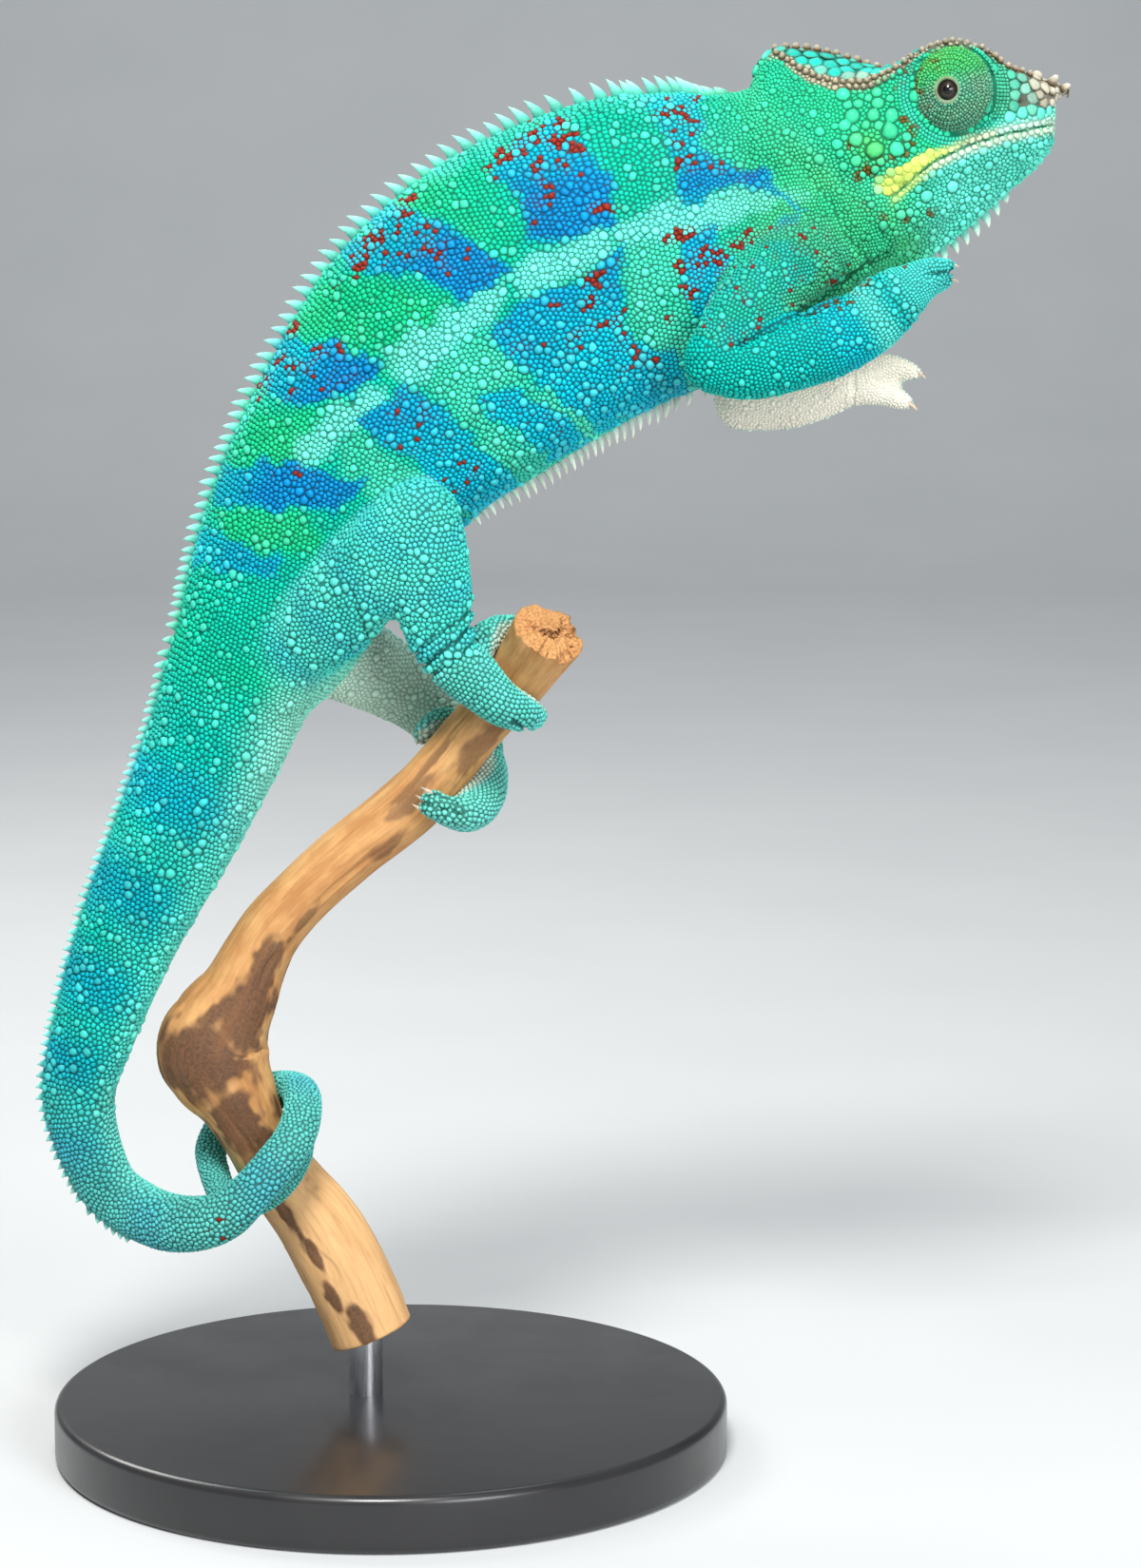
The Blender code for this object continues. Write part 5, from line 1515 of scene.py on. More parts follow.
# Rows of spines on the ridges of back and belly: where they run, their pitches and heights by length,
# the masks of their tips, how far they lean back, and their size along and across for the pitch.
SPINE_ROWS = {
    "spines_back": dict(
        start=26.5, end=262, turn=math.pi / 2, lean=0.42, plump=0.64, narrow=0.6,
        tip={"pale": 0.9, "cream": 0.3}, pitches=[(26, 2.25), (60, 2.15), (140, 1.8), (250, 1.45)],
        heights=[(26, 1.6), (33, 2.8), (60, 3.2), (110, 2.7), (150, 1.9), (230, 1.15), (300, 0.5)]),
    "spines_belly": dict(
        start=40, end=110, turn=-math.pi / 2, lean=0.3, plump=0.36, narrow=0.8,
        tip={"pale": 1.0, "cream": 0.95}, pitches=[(40, 2.3), (109, 2.1)],
        heights=[(40, 1.6), (50, 3.0), (95, 2.8), (109, 1.6)]),
}
SPINE_RINGS = [(-0.6, 1.0), (0.22, 0.86), (0.5, 0.62), (0.78, 0.34)]
SPINE_SIDES = 10


def torso_spines(name, material, start, end, turn, lean, plump, narrow, tip, pitches, heights):
    """A row of spines along the ridge of the back or the belly."""
    marks, s = [], start
    while s < end:
        marks.append(s)
        s += float(read_table(s, pitches))
    marks = np.array(marks)
    marks = marks + rng.uniform(-0.12, 0.12, len(marks))
    turns = np.full(len(marks), turn)
    pitch = read_table(marks, pitches)
    height = read_table(marks, heights) * rng.uniform(0.88, 1.1, len(marks))
    points = torso.surface(marks, turns, -COAT_DEPTH - 0.15)
    normals = torso.surface(marks, turns, 1.0) - torso.surface(marks, turns, 0.0)
    along = torso.frame(marks)[1]
    roots = crest_roots(points, normals, along, pitch * plump, height + COAT_DEPTH, "torso", marks)
    roots["v"][:] = math.sin(turn)
    tones = trunk_tones(points, {"ts": marks, "tv": roots["v"]})
    for key in ("blue", "red", "dusk"):
        tones[key] *= 0.2
    if turn < 0:
        tones["pale"][:] = 0.85
        tones["cream"][:] = 0.5
    return spine_piece(name, roots, narrow, tones, lean, tip, material)


def spine_piece(name, roots, narrow, tones, lean, tip, material):
    tones["own"] = rng.random(len(roots["pos"]))
    piece = studs(name, roots, long_reach(roots, SPINE_SIDES, narrow), SPINE_RINGS, tones, lean, tip)
    return finish_piece(piece, material)


THROAT = [(106.8, 221.8), (103.6, 218.9), (100.0, 215.3), (96.4, 212.3), (91.5, 209.3), (85.0, 206.2)]
THROAT_PITCH, THROAT_RADIUS = 2.35, 1.1


def throat_spines(tree, material):
    """Spines down the middle of the throat, longer towards the chest."""
    line, steps = np.array(THROAT), lengths_along(THROAT)
    at = np.arange(0, steps[-1], THROAT_PITCH)
    x, z = np.interp(at, steps, line[:, 0]), np.interp(at, steps, line[:, 1])
    points, normals = [], []
    for px, pz in zip(x, z):
        hit, normal, _, _ = tree.find_nearest(Vector((px, 0, pz)) * MM)
        points.append(np.array(hit) / MM)
        normals.append((normal[0], 0, normal[2]))
    along = np.tile((-0.7, 0, -0.7), (len(at), 1))
    height = np.interp(at, [0, 4, 12, 20, steps[-1]], [1.5, 2.6, 2.6, 3.4, 1.3])
    roots = crest_roots(np.array(points), normals, along, THROAT_RADIUS, height, "head", x)
    tones = blank_tones(len(at))
    tones["pale"][:] = 0.6
    spine_piece("spines_throat", roots, 0.75, tones, 0.35, {"pale": 1.0, "cream": 0.9}, material)


def build_spines(tree, material):
    for name, settings in SPINE_ROWS.items():
        torso_spines(name, material, **settings)
    throat_spines(tree, material)


# ---- eyes ----

GAZE = unit(np.array((-0.21, 1.0, 0.0)))  # the way the left eye looks, in the turret's own shape
UP = np.array((0.0, 0.0, 1.0))
LID_ANGLE = math.radians(16.0)
EYEBALL_RADIUS, EYEBALL_DEPTH = 2.25, 4.5


def turret_point(sign, angle, turn):
    """A point on the turret, at an angle from where the eye looks, and the way out from it."""
    gaze = GAZE * (1, sign, 1)
    height = turret_height(angle)[:, None]
    angle, turn = angle[:, None], turn[:, None]
    way = np.cos(angle) * gaze + np.sin(angle) * (np.cos(turn) * np.cross(UP, gaze) + np.sin(turn) * UP)
    normal = unit(way / TURRET_RADII)
    return EYE * (1, sign, 1) + way * TURRET_RADII + normal * height, normal


TURRET_STEP = 0.08  # angle from one ring of scales to the next


def turret_height(angle):
    """How far the turret's skin stands from the plain ellipsoid: a lid round the eyeball, sunk inside it."""
    lid = 0.32 * near(angle, LID_ANGLE, math.radians(5.5))
    sunk = -1.4 * (1 - ramp(angle, LID_ANGLE * 0.55, LID_ANGLE * 0.95))
    creases = -0.17 * (0.5 + 0.5 * np.cos(TAU * (angle - LID_ANGLE) / (TURRET_STEP * 2)))
    return -0.3 + lid + sunk + creases * ramp(angle, LID_ANGLE * 1.3, LID_ANGLE * 1.8)


def turret_tones(points, angle):
    tones = blank_tones(len(points))
    x, z = points[:, 0] - EYE[0], points[:, 2] - EYE[2]
    top = ramp(z - 0.25 * x, -0.5, 4.0)
    patchy = noise(points, 2.2, 40)
    tones["green"][:] = 0.85
    tones["lime"] = np.clip(0.15 + 0.5 * top + 0.3 * (patchy - 0.5), 0, 1)
    tones["tan"] = np.clip(0.28 * (1 - top) + 0.2 * (noise(points, 1.6, 41) - 0.5), 0, 1)
    tones["dusk"] = 0.25 * (1 - top) + 0.1
    tones["cyan"] = 0.3 * ramp(x, 1, 6) * top
    tones["rust"] = ramp(noise(points, 1.3, 42), 0.6, 0.7) * ramp(-x + 0.2 * z, 1.0, 5.0) * 0.8
    rim = near(angle, LID_ANGLE * 0.97, math.radians(2.8))
    tones["yellow"] = 0.6 * rim
    tones["cream"] = 0.45 * rim
    return tones


def build_turret(name, sign, skin_paint, scale_paint):
    """The round eye turret with a lid, and its rings of small scales."""
    turret = primitive(bpy.ops.mesh.primitive_uv_sphere_add, f"turret_{name}", segments=96, ring_count=64,
                       radius=1.0)
    rest = read_points(turret.data)
    angle, turn = np.arccos(np.clip(rest[:, 2], -1, 1)), np.arctan2(rest[:, 1], rest[:, 0])
    points, _ = turret_point(sign, angle, turn)
    reshape(turret, points)
    paint_tones(turret.data, turret_tones(points, angle))
    finish_piece(turret, skin_paint, [f"eye_turret_{name}"])

    angles, turns = [], []
    for ring, at in enumerate(np.arange(LID_ANGLE + 0.07, 1.9, TURRET_STEP)):
        count = round(TAU * math.sin(at) / TURRET_STEP * 0.98)
        turns.append((np.arange(count) + 0.5 * (ring % 2) + rng.uniform(-0.3, 0.3, count)) * TAU / count)
        angles.append(np.full(count, at) + rng.uniform(-0.2, 0.2, count) * TURRET_STEP)
    angles, turns = np.concatenate(angles), np.concatenate(turns)
    points, normal = turret_point(sign, angles, turns)
    radius = 0.28 * rng.uniform(0.7, 1.3, len(points))
    roots = blank_sites(points, radius, tall=0.75, part=PART["head"], s=angles, v=np.cos(turns),
                        w=np.sin(turns))
    roots["normal"], roots["along"] = normal, np.tile(UP, (len(points), 1))
    ids = neighbours(points, 10)
    tones = turret_tones(points, angles)
    tones["own"] = rng.random(len(points))
    reach = reaches(roots, ids, np.arange(len(points)), 8, 0.03)
    piece = studs(f"scales_turret_{name}", roots, reach, SCALE_RINGS, tones)
    finish_piece(piece, scale_paint)


def build_eyeball(name, sign, material):
    """The glossy eyeball, with its pole where it looks, and rings of colour by the angle from there."""
    ball = primitive(bpy.ops.mesh.primitive_uv_sphere_add, f"eye_{name}", segments=64, ring_count=48,
                     radius=EYEBALL_RADIUS * MM)
    rest = read_points(ball.data) / MM
    angle = np.arccos(np.clip(rest[:, 2] / EYEBALL_RADIUS, -1, 1))
    gaze = unit(GAZE * (1, sign, 1))
    centre = EYE * (1, sign, 1) + gaze * (EYEBALL_DEPTH, EYEBALL_DEPTH, 1)
    bulge = 1 + 0.06 * near(angle, 0, 0.5)
    turned = rest[:, :1] * np.cross(UP, gaze) + rest[:, 1:2] * UP + rest[:, 2:] * gaze
    reshape(ball, centre + turned * bulge[:, None])
    store(ball.data, "out_from_gaze", "FLOAT", "value", angle)
    finish_piece(ball, material, [f"eyeball_{name}"])


# ---- claws ----

CLAW_ROWS = [(-0.45, 0.62), (0, 0.68), (0.3, 0.52), (0.6, 0.34), (0.85, 0.18), (1, 0.07)]  # place, radius
CLAW_SIZES = {"forefoot_right": 0.35, "forefoot_left": 0.45, "hindfoot_right": 0.62, "hindfoot_left": 0.62}


def build_claws(material):
    """A small curved ivory claw on each toe, all in one piece."""
    shells = []
    for foot, _, tip, ahead, inward in toes:
        rows = []
        size = CLAW_SIZES[foot]
        for share, radius in CLAW_ROWS:
            point = tip + (ahead * (2.35 * share) + inward * (0.9 * share**2) - inward * 0.15) * size
            rows.append((*point, radius * 0.95 * size, radius * 0.72 * size))
        shells.append(Loft(rows, fine=0.1).shell(0.25, 12))
    claws = shells_object("claws", shells)
    claws.data.shade_smooth()
    return finish_piece(claws, material)


# ---- perch and stand ----

PERCH_SIDES, PERCH_STEP = 200, 0.55


def grain_ring(turns, share, length):
    """Places in the wood round the branch: two across the grain, then the length along it."""
    across = [np.cos(turns) * 6 * share, np.sin(turns) * 6 * share]
    return np.stack([*across, np.full(len(turns), length)], axis=1)


def fibre(grain, squeeze, size, seed):
    """Noise with lumps of a size across the grain, longer along it."""
    return noise(grain * (1, 1, squeeze), size, seed)


def end_face(grain):
    """The cut face: how far out from its heart, where its heart has split off, and its pits."""
    out = np.hypot(grain[:, 0] - 1.6, grain[:, 1] - 1.4)
    pits = ramp(fibre(grain, 0, 1.3, 64), 0.55, 0.7) * ramp(-grain[:, 1], 0, 3)
    return out, grain[:, 0] + grain[:, 1] < 3.4, pits


def build_perch(material):
    """The weathered branch, with long grooves, swellings and a broken end."""
    marks = np.arange(0, branch.length, PERCH_STEP)
    turns = np.arange(PERCH_SIDES) * TAU / PERCH_SIDES
    rings = np.array([branch.surface(np.full(PERCH_SIDES, s), turns) for s in marks])
    grains = [grain_ring(turns, 1.0, s) for s in marks]
    rings = unfold(rings, branch.frame(marks)[1])
    (c0, c1), (t0, t1) = branch.frame(np.array([0.0, branch.length]))[:2]
    rim = np.stack([np.cos(turns), np.sin(turns), 0 * turns], axis=1)
    chips = 1.6 * noise(rim, 0.32, 70) + 0.8 * noise(rim, 0.09, 71) - 0.6
    for k, share in enumerate((1.0, 0.7, 0.35)):
        rings[k] += t0 * (chips * share)[:, None]
    rings = list(rings)
    first, last = rings[0], rings[-1]
    for share in (0.97, 0.9, 0.8, 0.68, 0.55, 0.42, 0.3, 0.18, 0.08):
        rings.insert(0, c0 + (first - c0) * share - t0 * (0.55 * (1 - share) + 0.35))
        grains.insert(0, grain_ring(turns, share, -2.0 - 3 * (1 - share)))
        rings.append(c1 + (last - c1) * share + t1 * 0.35)
        grains.append(grain_ring(turns, share, branch.length + 2.0))
    verts, faces = rings_to_shell(rings, rings[0].mean(0), rings[-1].mean(0))
    grain = np.concatenate([*grains, [grains[0].mean(0)], [grains[-1].mean(0)]])
    perch = mesh_object("perch", verts, faces)
    recalculate_normals(perch)
    normals = read_normals(perch.data)
    verts = verts - normals * wood_depth(grain)[:, None]
    write_points(perch.data, verts * MM)
    store(perch.data, "grain", "FLOAT_VECTOR", "vector", grain)
    store(perch.data, "stain", "FLOAT", "value", wood_stain(grain))
    perch.data.shade_smooth()
    return finish_piece(perch, material, ["perch_branch"])


def unfold(rings, tangents):
    """Smooths rings that cross one another on the inside of a sharp bend."""
    ahead = unit(tangents[1:] + tangents[:-1])[:, None]
    for _ in range(60):
        steps = ((rings[1:] - rings[:-1]) * ahead).sum(2)
        crossed = np.zeros(rings.shape[:2], bool)
        for shift in range(-2, 4):
            rows = np.clip(np.arange(len(steps)) + shift, 0, len(rings) - 1)
            np.logical_or.at(crossed, rows, steps < 0.12)
        middle = (rings[2:] + rings[:-2]) / 2
        rings[1:-1] = np.where(crossed[1:-1, :, None], middle, rings[1:-1])
    return rings


# Brown stains where bark has stayed on the wood: length, height on the branch and their reaches.
WOOD_STAINS = [
    (26, -0.4, 7, 0.55), (34, 0.5, 5, 0.2), (41, 0.25, 7, 0.4), (50, -0.45, 6, 0.3), (71, -0.55, 6, 0.25),
    (80, -0.3, 7, 0.5), (90, -0.3, 10, 0.8), (101, 0.1, 10, 0.85), (114, 0, 11, 0.9), (131, 0.4, 8, 0.22),
    (140, 0.33, 5, 0.15), (148, 0.42, 5, 0.2), (155, 0.1, 6, 0.28),
]


def wood_stain(grain):
    """1 on the brown stains, with ragged edges."""
    height, length = grain[:, 1] / 6, grain[:, 2]
    ragged = 0.9 * (fibre(grain, 0.5, 2.4, 66) - 0.5) + 0.5 * (fibre(grain, 0.6, 0.8, 67) - 0.5)
    stain = fibre(grain, 0.3, 5.5, 68) - 0.95 + 0.3 * (grain[:, 0] > 0)
    for at, middle, reach, half in WOOD_STAINS:
        spot = 1 - np.hypot((length - at) / reach, (height - middle) / half)
        stain = np.maximum(stain, np.where(grain[:, 0] < 0, spot, -1.0))
    stain = ramp(stain + ragged, 0.0, 0.42) * ramp(length, 1, 4)
    out, split, pits = end_face(grain)
    broken = np.maximum(near(out, 3.1, 0.9), 0.35 * (out < 3.1)) * split
    stain = stain * (0.65 + 0.35 * ramp(length, 60, 85))
    return np.where(length < -1.2, np.maximum(broken, 0.7 * pits), stain)


def wood_depth(grain):
    """Fine grooves along the grain, soft dents, raised bark stains, and a cracked face at the cut end."""
    bent = grain + np.array((1.0, 1.0, 0.0)) * (noise(grain, 9, 60)[:, None] - 0.5) * 2.5
    fibres, dents = fibre(bent, 0.06, 0.7, 61), fibre(grain, 0.6, 7, 63)
    grooves = ramp(fibre(bent, 0.05, 1.6, 62), 0.68, 0.85)
    depth = 0.2 + 0.1 * fibres + 0.22 * grooves + 0.7 * (dents - 0.5) - 0.12 * wood_stain(grain)
    end = 1 - ramp(grain[:, 2], -2.6, -1.2)
    out, split, pits = end_face(grain)
    crack = near(out, 3.1, 0.6) * split
    rough = 0.6 * fibre(grain, 0, 2.6, 69) + 0.5 * noise(grain, 0.7, 65) - 0.4
    return depth * (1 - end) + end * (1.1 * crack + 0.9 * pits + rough - 0.3 * (out < 2.8))


BASE_RADIUS, BASE_THICKNESS, BASE_ROUND = 60, 10, 1.5
ROD_X, ROD_RADIUS, ROD_BOTTOM, ROD_TOP, ROD_ROUND = -4.6, 3.0, 4.0, 33.0, 0.3


def turned_piece(name, sides, radius, x, bottom, top, edge, steps):
    """A turned cylinder standing at x, with its edges rounded in steps."""
    depth = top - bottom
    piece = primitive(bpy.ops.mesh.primitive_cylinder_add, name, vertices=sides, radius=radius * MM,
                      depth=depth * MM, location=(x * MM, 0, (bottom + depth / 2) * MM))
    bpy.ops.object.transform_apply(location=True, rotation=True, scale=True)
    apply_modifier(piece, "BEVEL", width=edge * MM, segments=steps, limit_method="ANGLE")
    make_active(piece)
    bpy.ops.object.shade_smooth_by_angle(angle=math.radians(35))
    return piece


def build_stand(lacquer, steel):
    """A round lacquered base with a rounded rim, and the steel rod that holds the perch."""
    base = turned_piece("display_base", 160, BASE_RADIUS, 0, 0, BASE_THICKNESS, BASE_ROUND, 6)
    finish_piece(base, lacquer, ["stand_base"])
    rod = turned_piece("display_rod", 64, ROD_RADIUS, ROD_X, ROD_BOTTOM, ROD_TOP, ROD_ROUND, 3)
    finish_piece(rod, steel, ["stand_rod"])


# ---- materials ----

def paint(red, green, blue):
    """A colour given on the 0 to 255 display scale, as the shader's linear colour."""
    linear = [c / 255 / 12.92 if c <= 10.3 else ((c / 255 + 0.055) / 1.055)**2.4 for c in (red, green, blue)]
    return (*linear, 1.0)


class Nodes:
    """Short ways to add and link nodes in one tree."""

    def __init__(self, tree):
        self.tree = tree

    def add(self, kind, inputs=None, **settings):
        node = self.tree.nodes.new(kind)
        for key, value in settings.items():
            setattr(node, key, value)
        for key, value in (inputs or {}).items():
            self.feed(node.inputs[key], value)
        return node

    def feed(self, socket, value):
        if isinstance(value, bpy.types.NodeSocket):
            self.tree.links.new(value, socket)
        else:
            socket.default_value = value

    def math(self, operation, *values):
        return self.add("ShaderNodeMath", dict(enumerate(values)), operation=operation).outputs[0]

    def times(self, a, b):
        return self.math("MULTIPLY", a, b)

    def blend(self, share, a, b, kind="MIX"):
        inputs = {0: share, 6: a, 7: b}
        return self.add("ShaderNodeMix", inputs, data_type="RGBA", blend_type=kind).outputs[2]

    def spread(self, value, low, high, to_low=0.0, to_high=1.0):
        """Stretches the part of value from low to high over to_low to to_high."""
        return self.add("ShaderNodeMapRange", {"Value": value, "From Min": low, "From Max": high,
                                               "To Min": to_low, "To Max": to_high}, clamp=True).outputs[0]

    def place(self):
        return self.add("ShaderNodeTexCoord").outputs["Object"]

    def read(self, name, output="Fac"):
        """An attribute that the mesh stores."""
        return self.add("ShaderNodeAttribute", attribute_name=name).outputs[output]

    def speckle(self, vector, size, detail=2.0):
        """Soft noise with lumps of a size in mm."""
        return self.add("ShaderNodeTexNoise", {"Vector": vector, "Scale": 1 / (size * MM), "Detail": detail,
                                               "Roughness": 0.5}).outputs[0]


class Finish(Nodes):
    """A material of one shader, with its plain values, and short ways to set the rest."""

    def __init__(self, name, plain):
        self.material = bpy.data.materials.new(name)
        self.material.use_nodes = True
        super().__init__(self.material.node_tree)
        self.tree.nodes.clear()
        self.shader = self.add("ShaderNodeBsdfPrincipled", plain)
        self.add("ShaderNodeOutputMaterial", {0: self.shader.outputs[0]})

    def colour(self, value):
        self.feed(self.shader.inputs["Base Color"], value)

    def roughness(self, speckle, low, high):
        self.feed(self.shader.inputs["Roughness"], self.spread(speckle, 0.3, 0.7, low, high))

    def relief(self, height, strength, deep):
        """Fine relief, deep mm at most."""
        inputs = {"Strength": strength, "Distance": deep * MM, "Height": height}
        self.feed(self.shader.inputs["Normal"], self.add("ShaderNodeBump", inputs).outputs[0])


PIGMENTS = {
    "base": (0, 180, 164), "green": (0, 190, 130), "cyan": (0, 180, 204), "pale": (112, 236, 216),
    "blue": (0, 126, 188), "red": (142, 40, 26), "yellow": (196, 216, 104), "cream": (240, 227, 212),
    "tan": (172, 154, 134), "dusk": (0, 124, 140), "lime": (96, 190, 52), "rust": (104, 78, 22),
}
PAINT_ORDER = ["green", "cyan", "pale", "lime", "dusk", "blue", "yellow", "tan", "cream", "rust", "red"]


def make_paint_group():
    """Mixes the pigments by the marking masks and puts out the colour, with painted shade at the foot of
    each scale and on the skin between the scales.
    """
    group = bpy.data.node_groups.new("scale_paint", "ShaderNodeTree")

    def socket(name, kind="Float", way="INPUT"):
        group.interface.new_socket(name, in_out=way, socket_type=f"NodeSocket{kind}")

    for k in range(4):
        socket(f"Tones {k + 1}", "Color")
        socket(f"Last {k + 1}")
    for name in ("Speckle", "Edge Shade", "Depth"):
        socket(name)
    socket("Color", "Color", "OUTPUT")
    nodes = Nodes(group)
    given = nodes.add("NodeGroupInput").outputs
    masks = {}
    for k in range(4):
        split = nodes.add("ShaderNodeSeparateColor", {0: given[2 * k]})
        masks.update(zip(MASKS[4 * k:4 * k + 4], [*split.outputs[:3], given[2 * k + 1]]))
    colour = paint(*PIGMENTS["base"])
    for name in PAINT_ORDER:
        colour = nodes.blend(masks[name], colour, paint(*PIGMENTS[name]))
    value = nodes.spread(masks["own"], 0, 1, 0.85, 1.17)
    value = nodes.times(value, nodes.spread(masks["jitter"], 0.2, 0.8, 0.86, 1.14))
    value = nodes.times(value, nodes.spread(given["Speckle"], 0.3, 0.7, 0.88, 1.12))
    # Painted shade: each scale is darkened towards its foot, by the edge mask times the edge-shade strength.
    dark = nodes.times(masks["edge"], given["Edge Shade"])
    value = nodes.times(value, nodes.math("SUBTRACT", 1.0, dark))
    # Painted shade on the skin between the scales: its colour is darkened to the material's gap level, less
    # where it is cream or yellow.
    light = nodes.math("MAXIMUM", masks["cream"], masks["yellow"])
    value = nodes.times(value, nodes.spread(light, 0, 1, given["Depth"], 1.0))
    grey = nodes.add("ShaderNodeCombineColor", {0: value, 1: value, 2: value}).outputs[0]
    nodes.add("NodeGroupOutput", {"Color": nodes.blend(1.0, colour, grey, "MULTIPLY")})
    return group


def scale_material(name, group, edge_shade, depth, rough):
    """Painted reptile skin: satin, a little wet, finely wrinkled."""
    finish = Finish(name, {"Specular IOR Level": 0.11})
    place = finish.place()
    speckle = finish.speckle(place, 0.35, 3.0)
    # Painted shade: how much the foot of each scale is darkened, and how dark the skin between the scales is
    # painted (1 leaves it as it is).
    inputs = {"Speckle": speckle, "Edge Shade": edge_shade, "Depth": depth}
    for k, attribute in enumerate(TONE_ATTRIBUTES):
        inputs[f"Tones {k + 1}"] = finish.read(attribute, "Color")
        inputs[f"Last {k + 1}"] = finish.read(attribute, "Alpha")
    finish.colour(finish.add("ShaderNodeGroup", inputs, node_tree=group).outputs["Color"])
    finish.roughness(speckle, rough - 0.06, rough + 0.08)
    finish.relief(finish.speckle(place, 0.16), 0.35, 0.05)
    return finish.material


def eye_material():
    """Black pupil, dark brown iris with a fine gold ring, under a clear wet coat."""
    finish = Finish("eye_gloss", {"Roughness": 0.3, "Specular IOR Level": 0.15, "Coat Weight": 0.6,
                                  "Coat Roughness": 0.03})
    angle = finish.read("out_from_gaze")
    streaks = finish.speckle(finish.place(), 0.25, 3.0)
    iris = finish.blend(finish.spread(streaks, 0.35, 0.7), paint(12, 10, 9), paint(40, 28, 18))
    colour = finish.blend(finish.spread(angle, 0.37, 0.41), paint(4, 4, 4), iris)
    ring = finish.times(finish.spread(angle, 0.38, 0.41), finish.spread(angle, 0.47, 0.42))
    colour = finish.blend(finish.times(ring, 0.5), colour, paint(96, 72, 44))
    finish.colour(finish.blend(finish.spread(angle, 0.62, 0.74), colour, paint(12, 10, 9)))
    return finish.material


def claw_material():
    """Pale horn, a little clear, in soft patches of a warmer and a paler tone."""
    finish = Finish("claw_horn", {"Subsurface Weight": 0.25, "Subsurface Radius": (1.0, 0.7, 0.5),
                                  "Subsurface Scale": 0.8 * MM})
    place = finish.place()
    tint = finish.speckle(place, 1.2)
    finish.colour(finish.blend(tint, paint(164, 142, 122), paint(208, 190, 172)))
    finish.roughness(tint, 0.28, 0.4)
    finish.relief(finish.speckle(place, 0.2), 0.2, 0.03)
    return finish.material


def wood_material():
    """Bare weathered wood: sandy, with fine fibres, brown bark stains and a pale lower length."""
    finish = Finish("driftwood", {})
    blend, spread, times = finish.blend, finish.spread, finish.times
    grain, stain = finish.read("grain", "Vector"), finish.read("stain")

    def along(squeeze, scale, detail, shift):
        """Noise drawn out along the grain."""
        mapped = finish.add("ShaderNodeMapping", {"Vector": grain, "Location": (shift, shift, shift),
                                                  "Scale": (1.0, 1.0, squeeze)}).outputs[0]
        return finish.add("ShaderNodeTexNoise", {"Vector": mapped, "Scale": scale, "Detail": detail,
                                                 "Roughness": 0.6}).outputs[0]

    fibres, streaks = along(0.07, 1.8, 3.0, 0.0), along(0.1, 0.5, 4.0, 5.0)
    clouds, grit = along(0.5, 0.22, 3.0, 9.0), along(1.0, 2.2, 4.0, 3.0)
    length = finish.add("ShaderNodeSeparateXYZ", {0: grain}).outputs[2]
    colour = blend(spread(clouds, 0.38, 0.62), paint(204, 154, 96), paint(180, 126, 72))
    colour = blend(times(spread(length, 112, 128), 0.7), colour, paint(222, 178, 124))
    colour = blend(spread(streaks, 0.5, 0.72, 0.0, 0.45), colour, paint(156, 104, 58))
    colour = blend(spread(fibres, 0.52, 0.75, 0.0, 0.35), colour, paint(132, 88, 52))
    colour = blend(spread(fibres, 0.45, 0.3, 0.0, 0.2), colour, paint(222, 182, 128))
    bark = blend(spread(grit, 0.35, 0.65), paint(56, 34, 20), paint(98, 62, 38))
    bark = blend(spread(streaks, 0.45, 0.7, 0.0, 0.5), bark, paint(132, 88, 56))
    colour = blend(times(stain, 0.92), colour, bark)
    end = blend(spread(grit, 0.4, 0.65), paint(204, 148, 88), paint(140, 90, 50))
    finish.colour(blend(times(spread(length, -1.6, -2.4), 0.85), colour, end))
    finish.roughness(streaks, 0.62, 0.86)
    finish.relief(finish.math("ADD", times(fibres, 0.6), times(grit, 0.4)), 0.5, 0.25)
    return finish.material


def lacquer_material():
    """Black satin lacquer with the faintest orange-peel."""
    finish = Finish("black_lacquer", {"Coat Weight": 0.25, "Coat Roughness": 0.15})
    place = finish.place()
    cloud = finish.speckle(place, 14)
    finish.colour(finish.blend(cloud, paint(26, 26, 28), paint(38, 37, 38)))
    finish.roughness(cloud, 0.3, 0.4)
    finish.relief(finish.speckle(place, 0.8, 1.0), 0.08, 0.05)
    return finish.material


def steel_material():
    """Steel brushed along the rod."""
    finish = Finish("brushed_rod", {"Metallic": 1.0})
    mapped = finish.add("ShaderNodeMapping", {"Vector": finish.place(), "Scale": (1.0, 1.0, 0.03)})
    lines = finish.speckle(mapped.outputs[0], 0.12)
    finish.colour(finish.blend(lines, paint(178, 180, 184), paint(208, 209, 212)))
    finish.roughness(lines, 0.26, 0.42)
    finish.relief(lines, 0.15, 0.02)
    return finish.material


def floor_material():
    """Pale studio paper."""
    finish = Finish("studio_paper", {"Roughness": 0.9})
    cloud = finish.speckle(finish.place(), 90)
    finish.colour(finish.blend(cloud, paint(184, 187, 188), paint(192, 194, 194)))
    return finish.material


# ---- studio ----

VIEW_TARGET, VIEW_DISTANCE, VIEW_RISE = Vector((0.032, 0.0, 0.120)), 0.70, math.radians(8)
FRAME_FOCAL = 4200 / 1649  # focal length as a share of the frame's height


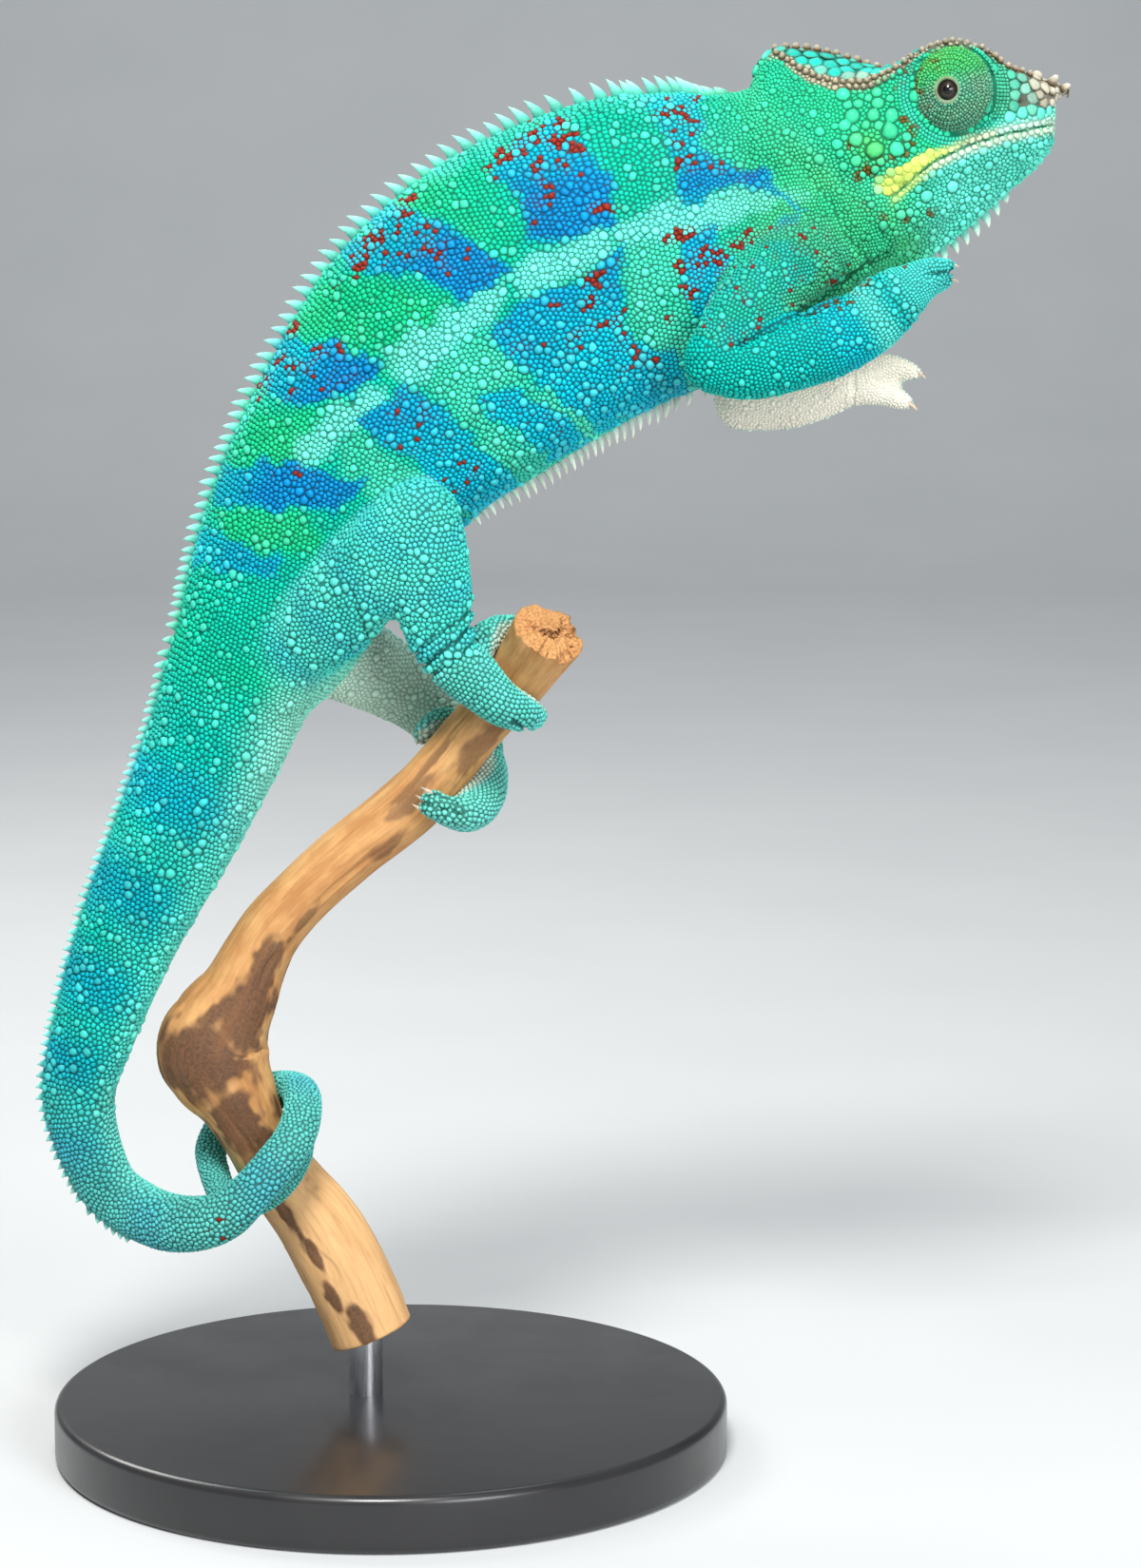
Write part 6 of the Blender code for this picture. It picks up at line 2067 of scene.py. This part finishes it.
def build_floor(material):
    """A pale sweep: floor, curve and backdrop in one sheet."""
    floor = primitive(bpy.ops.mesh.primitive_plane_add, "studio_sweep", size=1.0, location=(0, 0, 0))
    floor.scale = (SWEEP_WIDTH, SWEEP_FRONT + SWEEP_BACK, 1)
    floor.location.y = (SWEEP_BACK - SWEEP_FRONT) / 2
    bpy.ops.object.transform_apply(location=True, rotation=True, scale=True)
    make_active(floor)
    bpy.ops.object.mode_set(mode="EDIT")
    bpy.ops.mesh.select_mode(type="EDGE")
    bm = bmesh.from_edit_mesh(floor.data)
    for edge in bm.edges:
        edge.select_set(all(v.co.y > SWEEP_BACK - 0.01 for v in edge.verts))
    bmesh.update_edit_mesh(floor.data)
    bpy.ops.mesh.spin(steps=24, angle=-math.pi / 2, center=(0, SWEEP_BACK, SWEEP_CURVE), axis=(1, 0, 0))
    bpy.ops.mesh.extrude_region_move(TRANSFORM_OT_translate={"value": (0, 0, SWEEP_HEIGHT)})
    bpy.ops.object.mode_set(mode="OBJECT")
    floor.data.shade_smooth()
    floor.data.materials.append(material)


SWEEP_WIDTH, SWEEP_FRONT, SWEEP_BACK, SWEEP_CURVE, SWEEP_HEIGHT = 7.0, 3.0, 1.7, 0.8, 1.6


def add_light(name, place, target, size, power, colour):
    light = bpy.data.lights.new(name, "AREA")
    light.shape, light.size, light.energy, light.color = "DISK", size, power, colour
    obj = linked_object(name, light)
    obj.location = place
    obj.rotation_euler = (Vector(target) - Vector(place)).to_track_quat("-Z", "Y").to_euler()


def build_studio():
    world = bpy.data.worlds.new("studio_air")
    world.use_nodes = True
    sky = world.node_tree.nodes["Background"].inputs
    sky["Color"].default_value, sky["Strength"].default_value = (0.86, 0.92, 1.0, 1.0), 0.37
    bpy.context.scene.world = world
    centre = (0.03, 0, 0.14)
    add_light("key", (-0.05, -0.62, 0.92), centre, 0.3, 12.2, (1.0, 0.98, 0.95))
    add_light("fill", (0.55, -0.95, 0.4), centre, 0.5, 7.2, (0.97, 0.98, 1.0))
    add_light("backdrop", (0.0, 1.0, 1.9), (0.0, 2.1, 0.5), 1.2, 16.0, (1.0, 1.0, 1.0))
    add_light("rim", (-0.45, 0.4, 0.65), centre, 0.4, 4.0, (1.0, 0.98, 0.95))
    bpy.context.scene.view_settings.view_transform = "Standard"


def build_camera():
    data = bpy.data.cameras.new("camera")
    data.sensor_fit, data.sensor_height, data.sensor_width = "VERTICAL", 36.0, 36.0
    data.lens = 36.0 * FRAME_FOCAL
    data.clip_start, data.clip_end = 0.05, 50
    camera = linked_object("camera", data)
    away = Vector((0, -math.cos(VIEW_RISE), math.sin(VIEW_RISE)))
    camera.location = VIEW_TARGET + away * VIEW_DISTANCE
    camera.rotation_euler = (-away).to_track_quat("-Z", "Y").to_euler()
    bpy.context.scene.camera = camera


# ---- the model ----

def build_model():
    group = make_paint_group()
    # Painted shade: the skin between the scales is painted at 0.3 of its colour where it is not cream or
    # yellow, and the foot of each scale is darkened by up to 0.45.
    skin_paint = scale_material("skin_between_scales", group, 0.0, 0.3, 0.6)
    scale_paint = scale_material("scale_satin", group, 0.45, 1.0, 0.32)
    skin = build_skin()
    corners = read_points(skin.data) / MM
    tones = markings(corners, locate(corners))
    tones["own"][:] = 0.5
    paint_tones(skin.data, tones)
    stands_for = [name for name in frame["nodes"] if not name.startswith(("stand_", "perch_", "eye"))]
    finish_piece(skin, skin_paint, stands_for)
    build_scales(skin, scale_paint)
    build_spines(skin_tree(skin), scale_paint)
    gloss = eye_material()
    for name, sign in (("left", 1), ("right", -1)):
        build_turret(name, sign, skin_paint, scale_paint)
        build_eyeball(name, sign, gloss)
    build_claws(claw_material())
    build_perch(wood_material())
    build_stand(lacquer_material(), steel_material())


build_model()
build_floor(floor_material())
build_studio()
build_camera()
